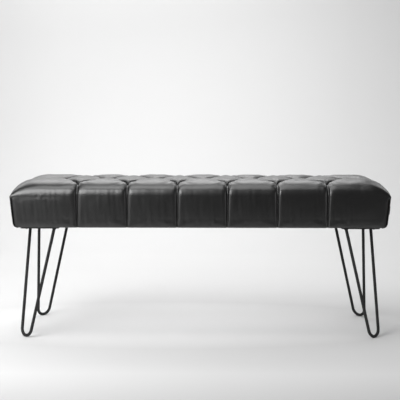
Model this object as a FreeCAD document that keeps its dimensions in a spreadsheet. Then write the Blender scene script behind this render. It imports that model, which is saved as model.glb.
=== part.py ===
"""Long tufted ottoman: a diamond-tufted leather seat on a timber frame, on four two-rod hairpin legs.

Millimetres. +Z is up, +X runs along the seat, -Y is the front.
The origin is on the floor under the seat's middle.
"""
import FreeCAD, Part
import math
import os

import Sketcher

Vector = FreeCAD.Vector

DIMENSIONS = (
    ("seat_half_length", 607, "seat centre to corner seam, at the edge height"),
    ("seat_half_depth", 209, "seat centre to front face, at the edge height"),
    ("base_half_depth", 203.5, "seat centre to front face, at the underside"),
    ("end_lean", 0.1, "run of an end face for each unit of rise"),
    ("end_swell", 5, "how far an end face swells past its corner seams"),
    ("end_roll", 62, "length over which the top rolls down to an end"),
    ("end_lift", 0.1, "share of the crown that is left at the corner seams"),
    ("end_shrink", 0.93, "size of the swollen end face beside its corner seams"),
    ("side_swell", 1.2, "how far a side face swells at its mid height"),
    ("underside_height", 360.6, "underside of the leather"),
    ("edge_height", 460, "where the side faces start to roll onto the top"),
    ("crest_height", 511, "highest line of the puffs"),
    ("shoulder_height", 502, "height where the front roll meets the top"),
    ("shoulder_run", 37, "depth of the front roll"),
    ("roll_run", 0.27, "share of the front roll's depth at its middle point"),
    ("roll_rise", 0.69, "share of the front roll's rise at its middle point"),
    ("lip_height", 496, "where a side pleat rolls onto the top"),
    ("tuft_height", 474, "bottom of a tuft"),
    ("saddle_share", 0.6, "height of a side pleat beside its tuft, from tuft to lip"),
    ("end_pleat_share", 0.6, "share of an end pleat's run that it takes to rise"),
    ("pleat_rise", 18, "rise of a diagonal pleat between two tufts"),
    ("pleat_groove", 5, "depth of the pleats down the front and rear"),
    ("base_groove", 3, "depth of the same pleats at the underside"),
    ("crease_half", 3, "half width of the crease along the middle"),
    ("crease_crown", 0.5, "rise of the middle above the crease along it"),
    ("middle_drop", 2, "crest of the middle diamonds below the front crest"),
    ("well_floor", 10.5, "floor radius of the well round a button"),
    ("well_mouth", 20, "radius of the well where it opens onto the puffs"),
    ("well_depth", 26, "well round a button"),
    ("tuft_pitch", 161.5, "tuft spacing along the seat"),
    ("tuft_shift", 7.5, "offset of the tuft grid towards +X"),
    ("tuft_row", 145, "middle row to front row"),
    ("leather_thickness", 2, "leather"),
    ("layer_gap", 0.3, "play between leather and batting"),
    ("leather_turn", 48, "leather turned under the frame"),
    ("frame_half_length", 586, "frame, outside"),
    ("frame_half_depth", 193, "frame, outside"),
    ("rail_thickness", 22, "rails"),
    ("rail_height", 45, "rails"),
    ("deck_thickness", 15, "plywood deck"),
    ("deck_margin", 1, "deck edge inside the frame's outside"),
    ("foam_half_length", 590, "foam pad"),
    ("foam_half_depth", 193, "foam pad"),
    ("foam_thickness", 61, "foam pad"),
    ("foam_round", 24, "rounded top edge of the foam"),
    ("pit_floor", 16, "floor radius of a tuft pit in the foam"),
    ("pit_mouth", 46, "mouth radius of a tuft pit in the foam"),
    ("pit_depth", 16, "tuft pit"),
    ("twine_diameter", 2.4, "tufting twine"),
    ("twine_hole", 6, "twine holes in foam and deck"),
    ("twine_play", 0.2, "play round the twine in the leather"),
    ("knot_radius", 3, "knot under a washer"),
    ("button_diameter", 20, "covered buttons"),
    ("button_height", 9, "covered buttons"),
    ("button_rest", 0.2, "button above the bottom of its tuft"),
    ("washer_diameter", 20, "twine washers"),
    ("washer_thickness", 2, "twine washers"),
    ("washer_play", 0.3, "play round the twine in a washer"),
    ("dust_thickness", 0.6, "dust cover"),
    ("dust_margin", 13, "dust cover edge inside the seat's underside, front and rear"),
    ("dust_end_margin", 23, "dust cover edge inside the corner seams, at the ends"),
    ("block_length", 120, "leg blocks along the seat"),
    ("block_depth", 99, "leg blocks across the seat"),
    ("plate_side", 124, "leg plates"),
    ("plate_thickness", 4, "leg plates"),
    ("plate_corner", 9, "corner radius of a leg plate"),
    ("plate_x", 518, "leg plate centre"),
    ("plate_y", 137, "leg plate centre"),
    ("leg_height", 356, "floor to the underside of the leg plates"),
    ("rod_diameter", 10, "hairpin rods"),
    ("rod_spread", 65, "half distance of the rods at the plate"),
    ("rod_bend", 25.3, "bend radius at the foot, on the rod's axis"),
    ("leg_splay", 50, "foot outside the plate centre, along X and along Y"),
    ("foot_wear", 0.5, "depth of the flat worn on a foot"),
    ("weld_radius", 8.5, "weld bead on the plate"),
    ("weld_toe", 0.6, "thickness of the weld bead at its lower edge"),
    ("weld_height", 4, "weld bead along the rod"),
    ("rod_overrun", 14, "rod drawn past the plate, before it is trimmed"),
    ("trim_side", 300, "side of the square that a leg is trimmed in"),
    ("hole_far", 44, "leg screw from the plate centre"),
    ("hole_near", 14, "leg screw from the plate centre"),
    ("hole_play", 0.6, "leg screw hole wider than the screw"),
    ("leg_screw_diameter", 5, "leg screws"),
    ("leg_screw_length", 30, "leg screws, under the head"),
    ("leg_screw_head", 5, "head radius of a leg screw"),
    ("leg_screw_dome", 3, "head height of a leg screw"),
    ("screw_point", 4, "length of a screw's point"),
    ("wood_screw_diameter", 4.5, "frame and deck screws"),
    ("frame_screw_length", 60, "frame screws"),
    ("frame_screw_inset", 12, "frame screw from a rail's lower or upper edge"),
    ("deck_screw_length", 40, "deck screws"),
    ("deck_screw_spacing", 215, "deck screws along a long rail"),
    ("deck_screw_shift", 60, "offset of the deck screws towards +X"),
)

# How far a cutting form passes the face that it cuts
OVERLAP = 1.0
# Powers that draw the cushion down towards a column of tufts
CREST_POWER = 2.2
SHOULDER_POWER = 2
GROOVE_POWER = 3
DIAMOND_POWER = 3

TUFT_COLUMNS = 6
CORNERS = {
    "front_left": (-1, -1),
    "front_right": (1, -1),
    "rear_left": (-1, 1),
    "rear_right": (1, 1),
}

doc = FreeCAD.newDocument("tufted_ottoman")
sheet = doc.addObject("Spreadsheet::Sheet", "dims")
for row, (alias, value, note) in enumerate(DIMENSIONS, start=1):
    sheet.set(f"A{row}", note)
    sheet.set(f"B{row}", str(value))
    sheet.setAlias(f"B{row}", alias)
doc.recompute()


def dim(alias):
    """The value of one cell of the sheet."""
    return float(sheet.get(alias))


# Heights and places that follow from the sheet

FRAME_BASE = dim("underside_height") + dim("leather_thickness")
DECK_BASE = FRAME_BASE + dim("rail_height")
DECK_TOP = DECK_BASE + dim("deck_thickness")
FRAME_BASE_CELL = "(dims.underside_height + dims.leather_thickness)"
DECK_BASE_CELL = f"({FRAME_BASE_CELL} + dims.rail_height)"
DECK_TOP_CELL = f"({DECK_BASE_CELL} + dims.deck_thickness)"

PITCH = dim("tuft_pitch")
FIRST_COLUMN = dim("tuft_shift") - PITCH * (TUFT_COLUMNS - 1) / 2
LAST_COLUMN = dim("tuft_shift") + PITCH * (TUFT_COLUMNS - 1) / 2
FIRST_COLUMN_CELL = f"(dims.tuft_shift - dims.tuft_pitch * {(TUFT_COLUMNS - 1) / 2})"
TUFT_ROWS = {
    "front": (FIRST_COLUMN, -dim("tuft_row"), TUFT_COLUMNS),
    "middle": (FIRST_COLUMN - PITCH / 2, 0.0, TUFT_COLUMNS + 1),
    "rear": (FIRST_COLUMN, dim("tuft_row"), TUFT_COLUMNS),
}

# The cross rails stand between the tufts, clear of the twine; places in tuft spacings from the grid's middle
CROSS_RAILS = {"left_cross_rail": -1.75, "middle_cross_rail": -0.25, "right_cross_rail": 1.75}

nodes = []


def node(piece, label):
    """Keep one finished object as a sub-part under its own label."""
    piece.Label = label
    nodes.append(piece)
    return piece


def bind(piece, **cells):
    """Bind properties of an object to expressions; a double underscore stands for a dot."""
    for name, cell in cells.items():
        piece.setExpression(name.replace("__", "."), cell)
    return piece


def origin_plane(body, role):
    """One of a body's own origin planes, by its role."""
    return next(f for f in body.Origin.OriginFeatures if f.Role == role)


def new_sketch(body, name, role):
    """A sketch on one of a body's origin planes."""
    sketch = body.newObject("Sketcher::SketchObject", name)
    sketch.AttachmentSupport = [(origin_plane(body, role), "")]
    sketch.MapMode = "FlatFace"
    return sketch


def named_constraint(sketch, label, cell, *definition):
    """Add a dimension to a sketch and bind it to an expression."""
    index = sketch.addConstraint(Sketcher.Constraint(*definition))
    sketch.renameConstraint(index, label)
    sketch.setExpression(f"Constraints.{label}", cell)


def centred_rectangle(sketch, width, width_cell, depth, depth_cell):
    """Draw a rectangle about the sketch's origin."""
    x, y = width / 2, depth / 2
    corners = [Vector(-x, -y), Vector(x, -y), Vector(x, y), Vector(-x, y)]
    for i in range(4):
        sketch.addGeometry(Part.LineSegment(corners[i], corners[(i + 1) % 4]), False)
    for i in range(4):
        sketch.addConstraint(Sketcher.Constraint("Coincident", i, 2, (i + 1) % 4, 1))
    for i in (0, 2):
        sketch.addConstraint(Sketcher.Constraint("Horizontal", i))
        sketch.addConstraint(Sketcher.Constraint("Vertical", i + 1))
    sketch.addConstraint(Sketcher.Constraint("Symmetric", 0, 1, 1, 2, -1, 1))
    named_constraint(sketch, "width", width_cell, "DistanceX", 0, 1, 0, 2, width)
    named_constraint(sketch, "depth", depth_cell, "DistanceY", 1, 1, 1, 2, depth)


def padded_rectangle(body, name, half_x, half_y, thickness):
    """Pad a rectangle given by the cells of its half sides and its thickness, each (value, cell)."""
    sketch = new_sketch(body, name + "_outline", "XY_Plane")
    centred_rectangle(
        sketch, 2 * half_x[0], f"2 * ({half_x[1]})", 2 * half_y[0], f"2 * ({half_y[1]})"
    )
    pad = body.newObject("PartDesign::Pad", name + "_slab")
    pad.Profile = sketch
    pad.Length = thickness[0]
    bind(pad, Length=thickness[1])
    doc.recompute()
    return pad


def drilled_row(body, name, start, start_cell, across, across_cell, count, spacing_cell, radius_cell):
    """Drill a row of through holes along X: one pocket and its linear pattern."""
    sketch = new_sketch(body, name + "_hole", "XY_Plane")
    sketch.addGeometry(Part.Circle(Vector(start, across), Vector(0, 0, 1), 3), False)
    named_constraint(sketch, "start", start_cell, "DistanceX", -1, 1, 0, 3, start)
    named_constraint(sketch, "across", across_cell, "DistanceY", -1, 1, 0, 3, across)
    named_constraint(sketch, "radius", radius_cell, "Radius", 0, 3)
    pocket = body.newObject("PartDesign::Pocket", name + "_pocket")
    pocket.Profile = sketch
    pocket.Type = "ThroughAll"
    pocket.Midplane = True
    pattern = body.newObject("PartDesign::LinearPattern", name + "_row")
    pattern.Originals = [pocket]
    pattern.Direction = (sketch, ["H_Axis"])
    pattern.Occurrences = count
    bind(pattern, Length=f"{count - 1} * ({spacing_cell})")
    body.Tip = pattern
    doc.recompute()
    return pattern


def revolved_body(name, profile):
    """Turn a closed profile of (radius, height) points about the vertical axis."""
    body = doc.addObject("PartDesign::Body", name)
    sketch = new_sketch(body, name + "_profile", "XZ_Plane")
    count = len(profile)
    for i in range(count):
        start, end = profile[i], profile[(i + 1) % count]
        sketch.addGeometry(Part.LineSegment(Vector(*start), Vector(*end)), False)
    for i in range(count):
        sketch.addConstraint(Sketcher.Constraint("Coincident", i, 2, (i + 1) % count, 1))
    turned = body.newObject("PartDesign::Revolution", name + "_turned")
    turned.Profile = sketch
    turned.ReferenceAxis = (sketch, ["V_Axis"])
    turned.Angle = 360
    doc.recompute()
    return body


def group(name, shapes):
    """Equal pieces, each its own solid, as one sub-part."""
    piece = doc.addObject("Part::Feature", name)
    piece.Shape = Part.makeCompound(shapes)
    return piece


def copies(master, places):
    """Copies of one turned piece, moved to each placement."""
    shapes = []
    for place in places:
        shape = master.Shape.copy()
        shape.Placement = place
        shapes.append(shape)
    return shapes


def upright(x, y, z):
    """A placement without a turn."""
    return FreeCAD.Placement(Vector(x, y, z), FreeCAD.Rotation())


def tuft_points(row_name):
    """The (x, y) of each tuft in a row."""
    start, across, count = TUFT_ROWS[row_name]
    return [(start + i * PITCH, across) for i in range(count)]


# Diamond-tufted cushion, as a loft along the seat

def blend(start, end, share):
    """A value part of the way from start to end."""
    return start + (end - start) * share


class Station:
    """Shape of the cushion across one place along the seat.

    open_share is 0 on a column of front and rear tufts and 1 on a middle tuft; past the last middle tuft it
    stays 1 and end_share runs from 0 to 1 at the end's corner seam.
    """

    def __init__(self, x):
        self.x = x
        outside = max(FIRST_COLUMN - x, x - LAST_COLUMN, 0.0)
        if outside > 0:
            self.open_share = min(1.0, outside / (PITCH / 2))
        else:
            share = ((x - FIRST_COLUMN) / PITCH) % 1.0
            self.open_share = 1.0 - abs(2.0 * share - 1.0)
        column = FIRST_COLUMN if x < 0 else LAST_COLUMN
        run = dim("seat_half_length") - abs(column) - PITCH / 2
        self.end_share = max(0.0, min(1.0, (outside - PITCH / 2) / run))
        from_end = max(0.0, dim("seat_half_length") - abs(x))
        roll = max(0.0, 1.0 - from_end / dim("end_roll"))
        self.lift = blend(dim("end_lift"), 1.0, math.sqrt(1.0 - roll * roll))
        self.lean = dim("end_lean") * self.end_share ** 2 * math.copysign(1.0, x)

    def heights(self):
        """Heights of shoulder, front crest, pleat and middle crest, before the end's roll."""
        closing = 1.0 - self.open_share
        tuft, lip, crest = dim("tuft_height"), dim("lip_height"), dim("crest_height")
        shoulder = blend(dim("shoulder_height"), lip, closing ** SHOULDER_POWER)
        front = blend(crest, blend(tuft, lip, dim("saddle_share")), closing ** CREST_POWER)
        if self.end_share > 0:
            risen = min(1.0, self.end_share / dim("end_pleat_share"))
            pleat = blend(tuft, lip, math.sin(math.pi / 2 * risen))
            return shoulder, front, pleat, pleat + dim("crease_crown")
        pleat = tuft + dim("pleat_rise") * 4 * self.open_share * closing
        middle = blend(
            crest - dim("middle_drop"), pleat + dim("crease_crown"), self.open_share ** DIAMOND_POWER
        )
        return shoulder, front, pleat, middle

    def half_profile(self, inset):
        """Points of the front half, from the underside to the middle, as (distance from the middle, height)."""
        closing = (1.0 - self.open_share) ** GROOVE_POWER
        side = dim("seat_half_depth") - dim("pleat_groove") * closing - inset
        base = dim("base_half_depth") - dim("base_groove") * closing - inset
        edge = dim("edge_height")
        shoulder, front, pleat, middle = (
            edge + (height - inset - edge) * self.lift for height in self.heights()
        )
        foot = dim("underside_height") + inset
        crease = blend(dim("tuft_row"), dim("crease_half"), self.open_share)
        inner = side - dim("shoulder_run")
        return (
            (base, foot),
            ((side + base) / 2 + dim("side_swell"), (edge + foot) / 2),
            (side, edge),
            (side - dim("roll_run") * dim("shoulder_run"), blend(edge, shoulder, dim("roll_rise"))),
            (inner, shoulder),
            ((inner + crease) / 2, front),
            (crease, pleat),
            (0.0, middle),
        )

    def wire(self, inset, shrink=1.0, push=0.0):
        """The closed outline here: an underside line, then arcs over the front, the top and the rear."""
        edge = dim("edge_height")
        middle_height = (edge + dim("underside_height")) / 2
        along = self.x + push * math.copysign(1.0, self.x)
        half = []
        for across, height in self.half_profile(inset):
            height = blend(middle_height, height, shrink)
            half.append((along + self.lean * (height - edge), across * shrink, height))
        front = [Vector(x, -y, z) for x, y, z in half]
        rear = [Vector(x, y, z) for x, y, z in half]
        arcs = (
            (front[0], front[1], front[2]),
            (front[2], front[3], front[4]),
            (front[4], front[5], front[6]),
            (front[6], front[7], rear[6]),
            (rear[6], rear[5], rear[4]),
            (rear[4], rear[3], rear[2]),
            (rear[2], rear[1], rear[0]),
        )
        edges = [Part.LineSegment(rear[0], front[0]).toShape()]
        edges += [Part.Arc(*points).toShape() for points in arcs]
        return Part.Wire(edges)


def station_places():
    """Places along the seat where the cushion's outline is drawn."""
    shares = (0.0, 0.075, 0.2, 0.375, 0.5, 0.625, 0.8, 0.925)
    from_seam = (100, 62, 44, 29, 17, 8, 2.5, 0)
    half = dim("seat_half_length")
    inner = [FIRST_COLUMN + (i + s) * PITCH for i in range(TUFT_COLUMNS - 1) for s in shares]
    inner.append(LAST_COLUMN)
    right = [LAST_COLUMN + s * PITCH for s in shares[1:5]] + [half - d for d in from_seam]
    left = [FIRST_COLUMN - s * PITCH for s in shares[1:5]] + [d - half for d in from_seam]
    return left[::-1] + inner + right


def cushion(inset):
    """The whole tufted cushion as one solid, drawn in by an inset on every side."""
    half = dim("seat_half_length")
    wires = []
    for x in station_places():
        if abs(x) > half - dim("end_roll"):
            wires.append(Station(x).wire(inset, push=-inset))
        else:
            wires.append(Station(x).wire(inset))
    swell = dim("end_swell") - inset
    wires.insert(0, Station(-half).wire(inset, dim("end_shrink"), swell))
    wires.append(Station(half).wire(inset, dim("end_shrink"), swell))
    wells = [
        Part.makeCone(
            dim("well_floor") + inset,
            dim("well_mouth") + inset,
            dim("well_depth") + inset,
            Vector(x, y, dim("tuft_height") - inset),
        )
        for row_name in TUFT_ROWS
        for x, y in tuft_points(row_name)
    ]
    return Part.makeLoft(wires, True, True).cut(wells)


# Frame

def timber(name, corner, size):
    """A bar of timber: its lowest corner and its sides as cell expressions."""
    bar = doc.addObject("Part::Box", name)
    bind(bar, Length=size[0], Width=size[1], Height=size[2])
    bind(bar, Placement__Base__x=corner[0], Placement__Base__y=corner[1], Placement__Base__z=corner[2])
    return bar


timbers = {}
long_rail = ("2 * dims.frame_half_length", "dims.rail_thickness", "dims.rail_height")
timbers["front_rail"] = timber(
    "front_rail_bar", ("-dims.frame_half_length", "-dims.frame_half_depth", FRAME_BASE_CELL), long_rail
)
timbers["rear_rail"] = timber(
    "rear_rail_bar",
    ("-dims.frame_half_length", "dims.frame_half_depth - dims.rail_thickness", FRAME_BASE_CELL),
    long_rail,
)
INNER_DEPTH_CELL = "(dims.frame_half_depth - dims.rail_thickness)"
short_rail = ("dims.rail_thickness", f"2 * {INNER_DEPTH_CELL}", "dims.rail_height")
short_starts = {
    "left_end_rail": "-dims.frame_half_length",
    "right_end_rail": "dims.frame_half_length - dims.rail_thickness",
}
for label, steps in CROSS_RAILS.items():
    short_starts[label] = f"dims.tuft_shift + {steps} * dims.tuft_pitch - dims.rail_thickness / 2"
for label, start in short_starts.items():
    timbers[label] = timber(label + "_bar", (start, f"-{INNER_DEPTH_CELL}", FRAME_BASE_CELL), short_rail)
for corner, (sx, sy) in CORNERS.items():
    inner_length = "(dims.frame_half_length - dims.rail_thickness)"
    start_x = f"-{inner_length}" if sx < 0 else f"{inner_length} - dims.block_length"
    start_y = f"-{INNER_DEPTH_CELL}" if sy < 0 else f"{INNER_DEPTH_CELL} - dims.block_depth"
    timbers[f"leg_block_{corner}"] = timber(
        f"leg_block_{corner}_bar",
        (start_x, start_y, FRAME_BASE_CELL),
        ("dims.block_length", "dims.block_depth", "dims.rail_height"),
    )

# Screws

screw_radius = dim("leg_screw_diameter") / 2
head_radius, dome = dim("leg_screw_head"), dim("leg_screw_dome")
leg_screw = revolved_body(
    "leg_screw",
    (
        (0, -dome),
        (0.5 * head_radius, -dome),
        (0.9 * head_radius, -0.65 * dome),
        (head_radius, -0.25 * dome),
        (head_radius, 0),
        (screw_radius, 0),
        (screw_radius, dim("leg_screw_length") - dim("screw_point")),
        (0, dim("leg_screw_length")),
    ),
)


def countersunk(name, length):
    """A countersunk wood screw, head up at height 0, pointing down."""
    radius = dim("wood_screw_diameter") / 2
    tip = dim("screw_point") - length
    return revolved_body(name, ((0, 0), (2 * radius, 0), (radius, -radius), (radius, tip), (0, -length)))


frame_screw = countersunk("frame_screw", dim("frame_screw_length"))
deck_screw = countersunk("deck_screw", dim("deck_screw_length"))


def plate_holes(corner):
    """The (x, y) of a leg plate's four screws: two outer corners free of the rods and two beside them."""
    sx, sy = CORNERS[corner]
    far, near = dim("hole_far"), dim("hole_near")
    offsets = ((far, far), (-far, -far), (near, -far), (-far, near))
    return [(sx * (dim("plate_x") + dx), sy * (dim("plate_y") + dy)) for dx, dy in offsets]


leg_screws = {}
for corner in CORNERS:
    places = [upright(x, y, dim("leg_height")) for x, y in plate_holes(corner)]
    screws = group(f"leg_screws_{corner}_set", copies(leg_screw, places))
    leg_screws[corner] = node(screws, f"leg_screws_{corner}")

frame_places = []
rail_middle = dim("rail_thickness") / 2
joint_places = [s * (dim("frame_half_length") - rail_middle) for s in (-1, 1)]
joint_places += [dim("tuft_shift") + steps * PITCH for steps in CROSS_RAILS.values()]
joint_heights = (dim("frame_screw_inset"), dim("rail_height") - dim("frame_screw_inset"))
for sy in (-1, 1):
    for x in joint_places:
        for height in joint_heights:
            head = Vector(x, sy * dim("frame_half_depth"), FRAME_BASE + height)
            inward = FreeCAD.Rotation(Vector(0, 0, 1), Vector(0, sy, 0))
            frame_places.append(FreeCAD.Placement(head, inward))
frame_screws = node(group("frame_screw_set", copies(frame_screw, frame_places)), "frame_screws")

deck_places = []
for sy in (-1, 1):
    for i in range(-2, 3):
        x = dim("deck_screw_shift") + i * dim("deck_screw_spacing")
        deck_places.append(upright(x, sy * (dim("frame_half_depth") - rail_middle), DECK_TOP))
deck_screws = node(group("deck_screw_set", copies(deck_screw, deck_places)), "deck_screws")

doc.recompute()
drills = [frame_screws, deck_screws, *leg_screws.values()]
for label, bar in timbers.items():
    touching = [drill for drill in drills if bar.Shape.common(drill.Shape).Volume > 0]
    bored = bar
    for index, drill in enumerate(touching):
        cut = doc.addObject("Part::Cut", f"{label}_bored_{index}")
        cut.Base, cut.Tool = bored, drill
        bored = cut
    node(bored, label)

# Deck, foam and dust cover

deck_body = doc.addObject("PartDesign::Body", "deck")
padded_rectangle(
    deck_body,
    "deck",
    (dim("frame_half_length") - dim("deck_margin"), "dims.frame_half_length - dims.deck_margin"),
    (dim("frame_half_depth") - dim("deck_margin"), "dims.frame_half_depth - dims.deck_margin"),
    (dim("deck_thickness"), "dims.deck_thickness"),
)
foam_body = doc.addObject("PartDesign::Body", "foam")
foam_pad = padded_rectangle(
    foam_body,
    "foam",
    (dim("foam_half_length"), "dims.foam_half_length"),
    (dim("foam_half_depth"), "dims.foam_half_depth"),
    (dim("foam_thickness"), "dims.foam_thickness"),
)
top_edges = [
    f"Edge{i}"
    for i, edge in enumerate(foam_pad.Shape.Edges, start=1)
    if edge.BoundBox.ZMin > dim("foam_thickness") - 0.01
]
foam_round = foam_body.newObject("PartDesign::Fillet", "foam_round_edge")
foam_round.Base = (foam_pad, top_edges)
bind(foam_round, Radius="dims.foam_round")
doc.recompute()

for row_name, (start, across, count) in TUFT_ROWS.items():
    start_cell = FIRST_COLUMN_CELL if count == TUFT_COLUMNS else f"{FIRST_COLUMN_CELL} - dims.tuft_pitch / 2"
    across_cell = {"front": "-dims.tuft_row", "middle": "0", "rear": "dims.tuft_row"}[row_name]
    hole = (start, start_cell, across, across_cell, count, "dims.tuft_pitch", "dims.twine_hole / 2")
    drilled_row(deck_body, f"deck_{row_name}", *hole)
    drilled_row(foam_body, f"foam_{row_name}", *hole)
    pit = foam_body.newObject("PartDesign::SubtractiveCone", f"foam_{row_name}_pit")
    bind(pit, Radius1="dims.pit_floor", Radius2="dims.pit_mouth", Height="dims.pit_depth")
    bind(
        pit,
        Placement__Base__x=start_cell,
        Placement__Base__y=across_cell,
        Placement__Base__z="dims.foam_thickness - dims.pit_depth",
    )
    pits = foam_body.newObject("PartDesign::LinearPattern", f"foam_{row_name}_pits")
    pits.Originals = [pit]
    pits.Direction = (origin_plane(foam_body, "X_Axis"), [""])
    pits.Occurrences = count
    bind(pits, Length=f"{count - 1} * dims.tuft_pitch")
    foam_body.Tip = pits
    doc.recompute()

bind(deck_body, Placement__Base__z=DECK_BASE_CELL)
bind(foam_body, Placement__Base__z=DECK_TOP_CELL)
deck = doc.addObject("Part::Cut", "deck_bored")
deck.Base, deck.Tool = deck_body, deck_screws
node(deck, "seat_deck")
node(foam_body, "foam_pad")
doc.recompute()

# Leather and batting

outer_form = cushion(0.0)
inner_form = cushion(dim("leather_thickness"))
batting_form = cushion(dim("leather_thickness") + dim("layer_gap"))
turn = dim("leather_turn")
opening = Part.makeBox(
    2 * (dim("seat_half_length") - turn),
    2 * (dim("base_half_depth") - turn),
    dim("leather_thickness") + 2 * OVERLAP,
    Vector(turn - dim("seat_half_length"), turn - dim("base_half_depth"), dim("underside_height") - OVERLAP),
)
all_leg_screws = Part.makeCompound([piece.Shape for piece in leg_screws.values()])


def twine_bores(radius):
    """Upright bores for the twine through the padding, one at each tuft."""
    low = DECK_TOP - OVERLAP
    return [
        Part.makeCylinder(radius, dim("tuft_height") + OVERLAP - low, Vector(x, y, low))
        for row_name in TUFT_ROWS
        for x, y in tuft_points(row_name)
    ]


twine_radius = dim("twine_diameter") / 2
leather = outer_form.cut(inner_form).cut(opening).cut(all_leg_screws)
leather = leather.cut(twine_bores(twine_radius + dim("twine_play")))
leather_cover = doc.addObject("Part::Feature", "leather_shell")
leather_cover.Shape = leather
node(leather_cover, "leather_cover")

frame_room = Part.makeBox(
    2 * dim("frame_half_length"),
    2 * dim("frame_half_depth"),
    DECK_TOP - FRAME_BASE + OVERLAP,
    Vector(-dim("frame_half_length"), -dim("frame_half_depth"), FRAME_BASE - OVERLAP),
)
batting = doc.addObject("Part::Feature", "batting_layer")
batting.Shape = batting_form.cut(frame_room).cut(foam_body.Shape).cut(twine_bores(dim("twine_hole") / 2))
node(batting, "batting_wrap")

dust_box = doc.addObject("Part::Box", "dust_sheet")
dust_half = ("(dims.seat_half_length - dims.dust_end_margin)", "(dims.base_half_depth - dims.dust_margin)")
bind(dust_box, Length=f"2 * {dust_half[0]}", Width=f"2 * {dust_half[1]}", Height="dims.dust_thickness")
bind(
    dust_box,
    Placement__Base__x=f"-{dust_half[0]}",
    Placement__Base__y=f"-{dust_half[1]}",
    Placement__Base__z="dims.underside_height - dims.dust_thickness",
)
dust_drills = doc.addObject("Part::Feature", "dust_drills")
dust_drills.Shape = all_leg_screws
dust_cover = doc.addObject("Part::Cut", "dust_bored")
dust_cover.Base, dust_cover.Tool = dust_box, dust_drills
node(dust_cover, "dust_cover")

# Buttons, twine and washers

button_radius = dim("button_diameter") / 2
button_height = dim("button_height")
button = revolved_body(
    "button",
    (
        (0, 0),
        (0.9 * button_radius, 0),
        (button_radius, 0.18 * button_height),
        (button_radius, 0.36 * button_height),
        (0.88 * button_radius, 0.64 * button_height),
        (0.55 * button_radius, 0.88 * button_height),
        (0, button_height),
    ),
)
button_seat = dim("tuft_height") + dim("button_rest")
twine_top = button_seat - DECK_BASE
washer_thickness, knot = dim("washer_thickness"), dim("knot_radius")
twine = revolved_body(
    "twine",
    (
        (0, -washer_thickness - 2 * knot),
        (knot, -washer_thickness - 1.5 * knot),
        (knot, -washer_thickness - 0.5 * knot),
        (twine_radius, -washer_thickness),
        (twine_radius, twine_top),
        (0, twine_top),
    ),
)
washer_bore, washer_radius = twine_radius + dim("washer_play"), dim("washer_diameter") / 2
washer = revolved_body(
    "washer",
    (
        (washer_bore, -washer_thickness),
        (washer_radius, -washer_thickness),
        (washer_radius, 0),
        (washer_bore, 0),
    ),
)
for row_name in TUFT_ROWS:
    points = tuft_points(row_name)
    seats = [upright(x, y, button_seat) for x, y in points]
    lows = [upright(x, y, DECK_BASE) for x, y in points]
    node(group(f"button_{row_name}_set", copies(button, seats)), f"tuft_buttons_{row_name}")
    node(group(f"twine_{row_name}_set", copies(twine, lows)), f"tuft_twine_{row_name}")
    node(group(f"washer_{row_name}_set", copies(washer, lows)), f"twine_washers_{row_name}")

# Legs

slope = math.sqrt(2) * dim("leg_splay")
foot_height = dim("rod_diameter") / 2 - dim("foot_wear")
rise = dim("leg_height") - foot_height
rod_length = math.hypot(slope, rise)
bend, spread = dim("rod_bend"), dim("rod_spread")
to_centre = math.hypot(spread, rod_length - bend)
tangent_angle = math.atan2(rod_length - bend, spread) - math.acos(bend / to_centre)
touch = Vector(bend * math.cos(tangent_angle), bend + bend * math.sin(tangent_angle))
past_plate = dim("rod_overrun") / rod_length
rod_end = Vector(
    blend(touch.x, spread, 1 + past_plate), blend(touch.y, rod_length, 1 + past_plate)
)

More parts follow.
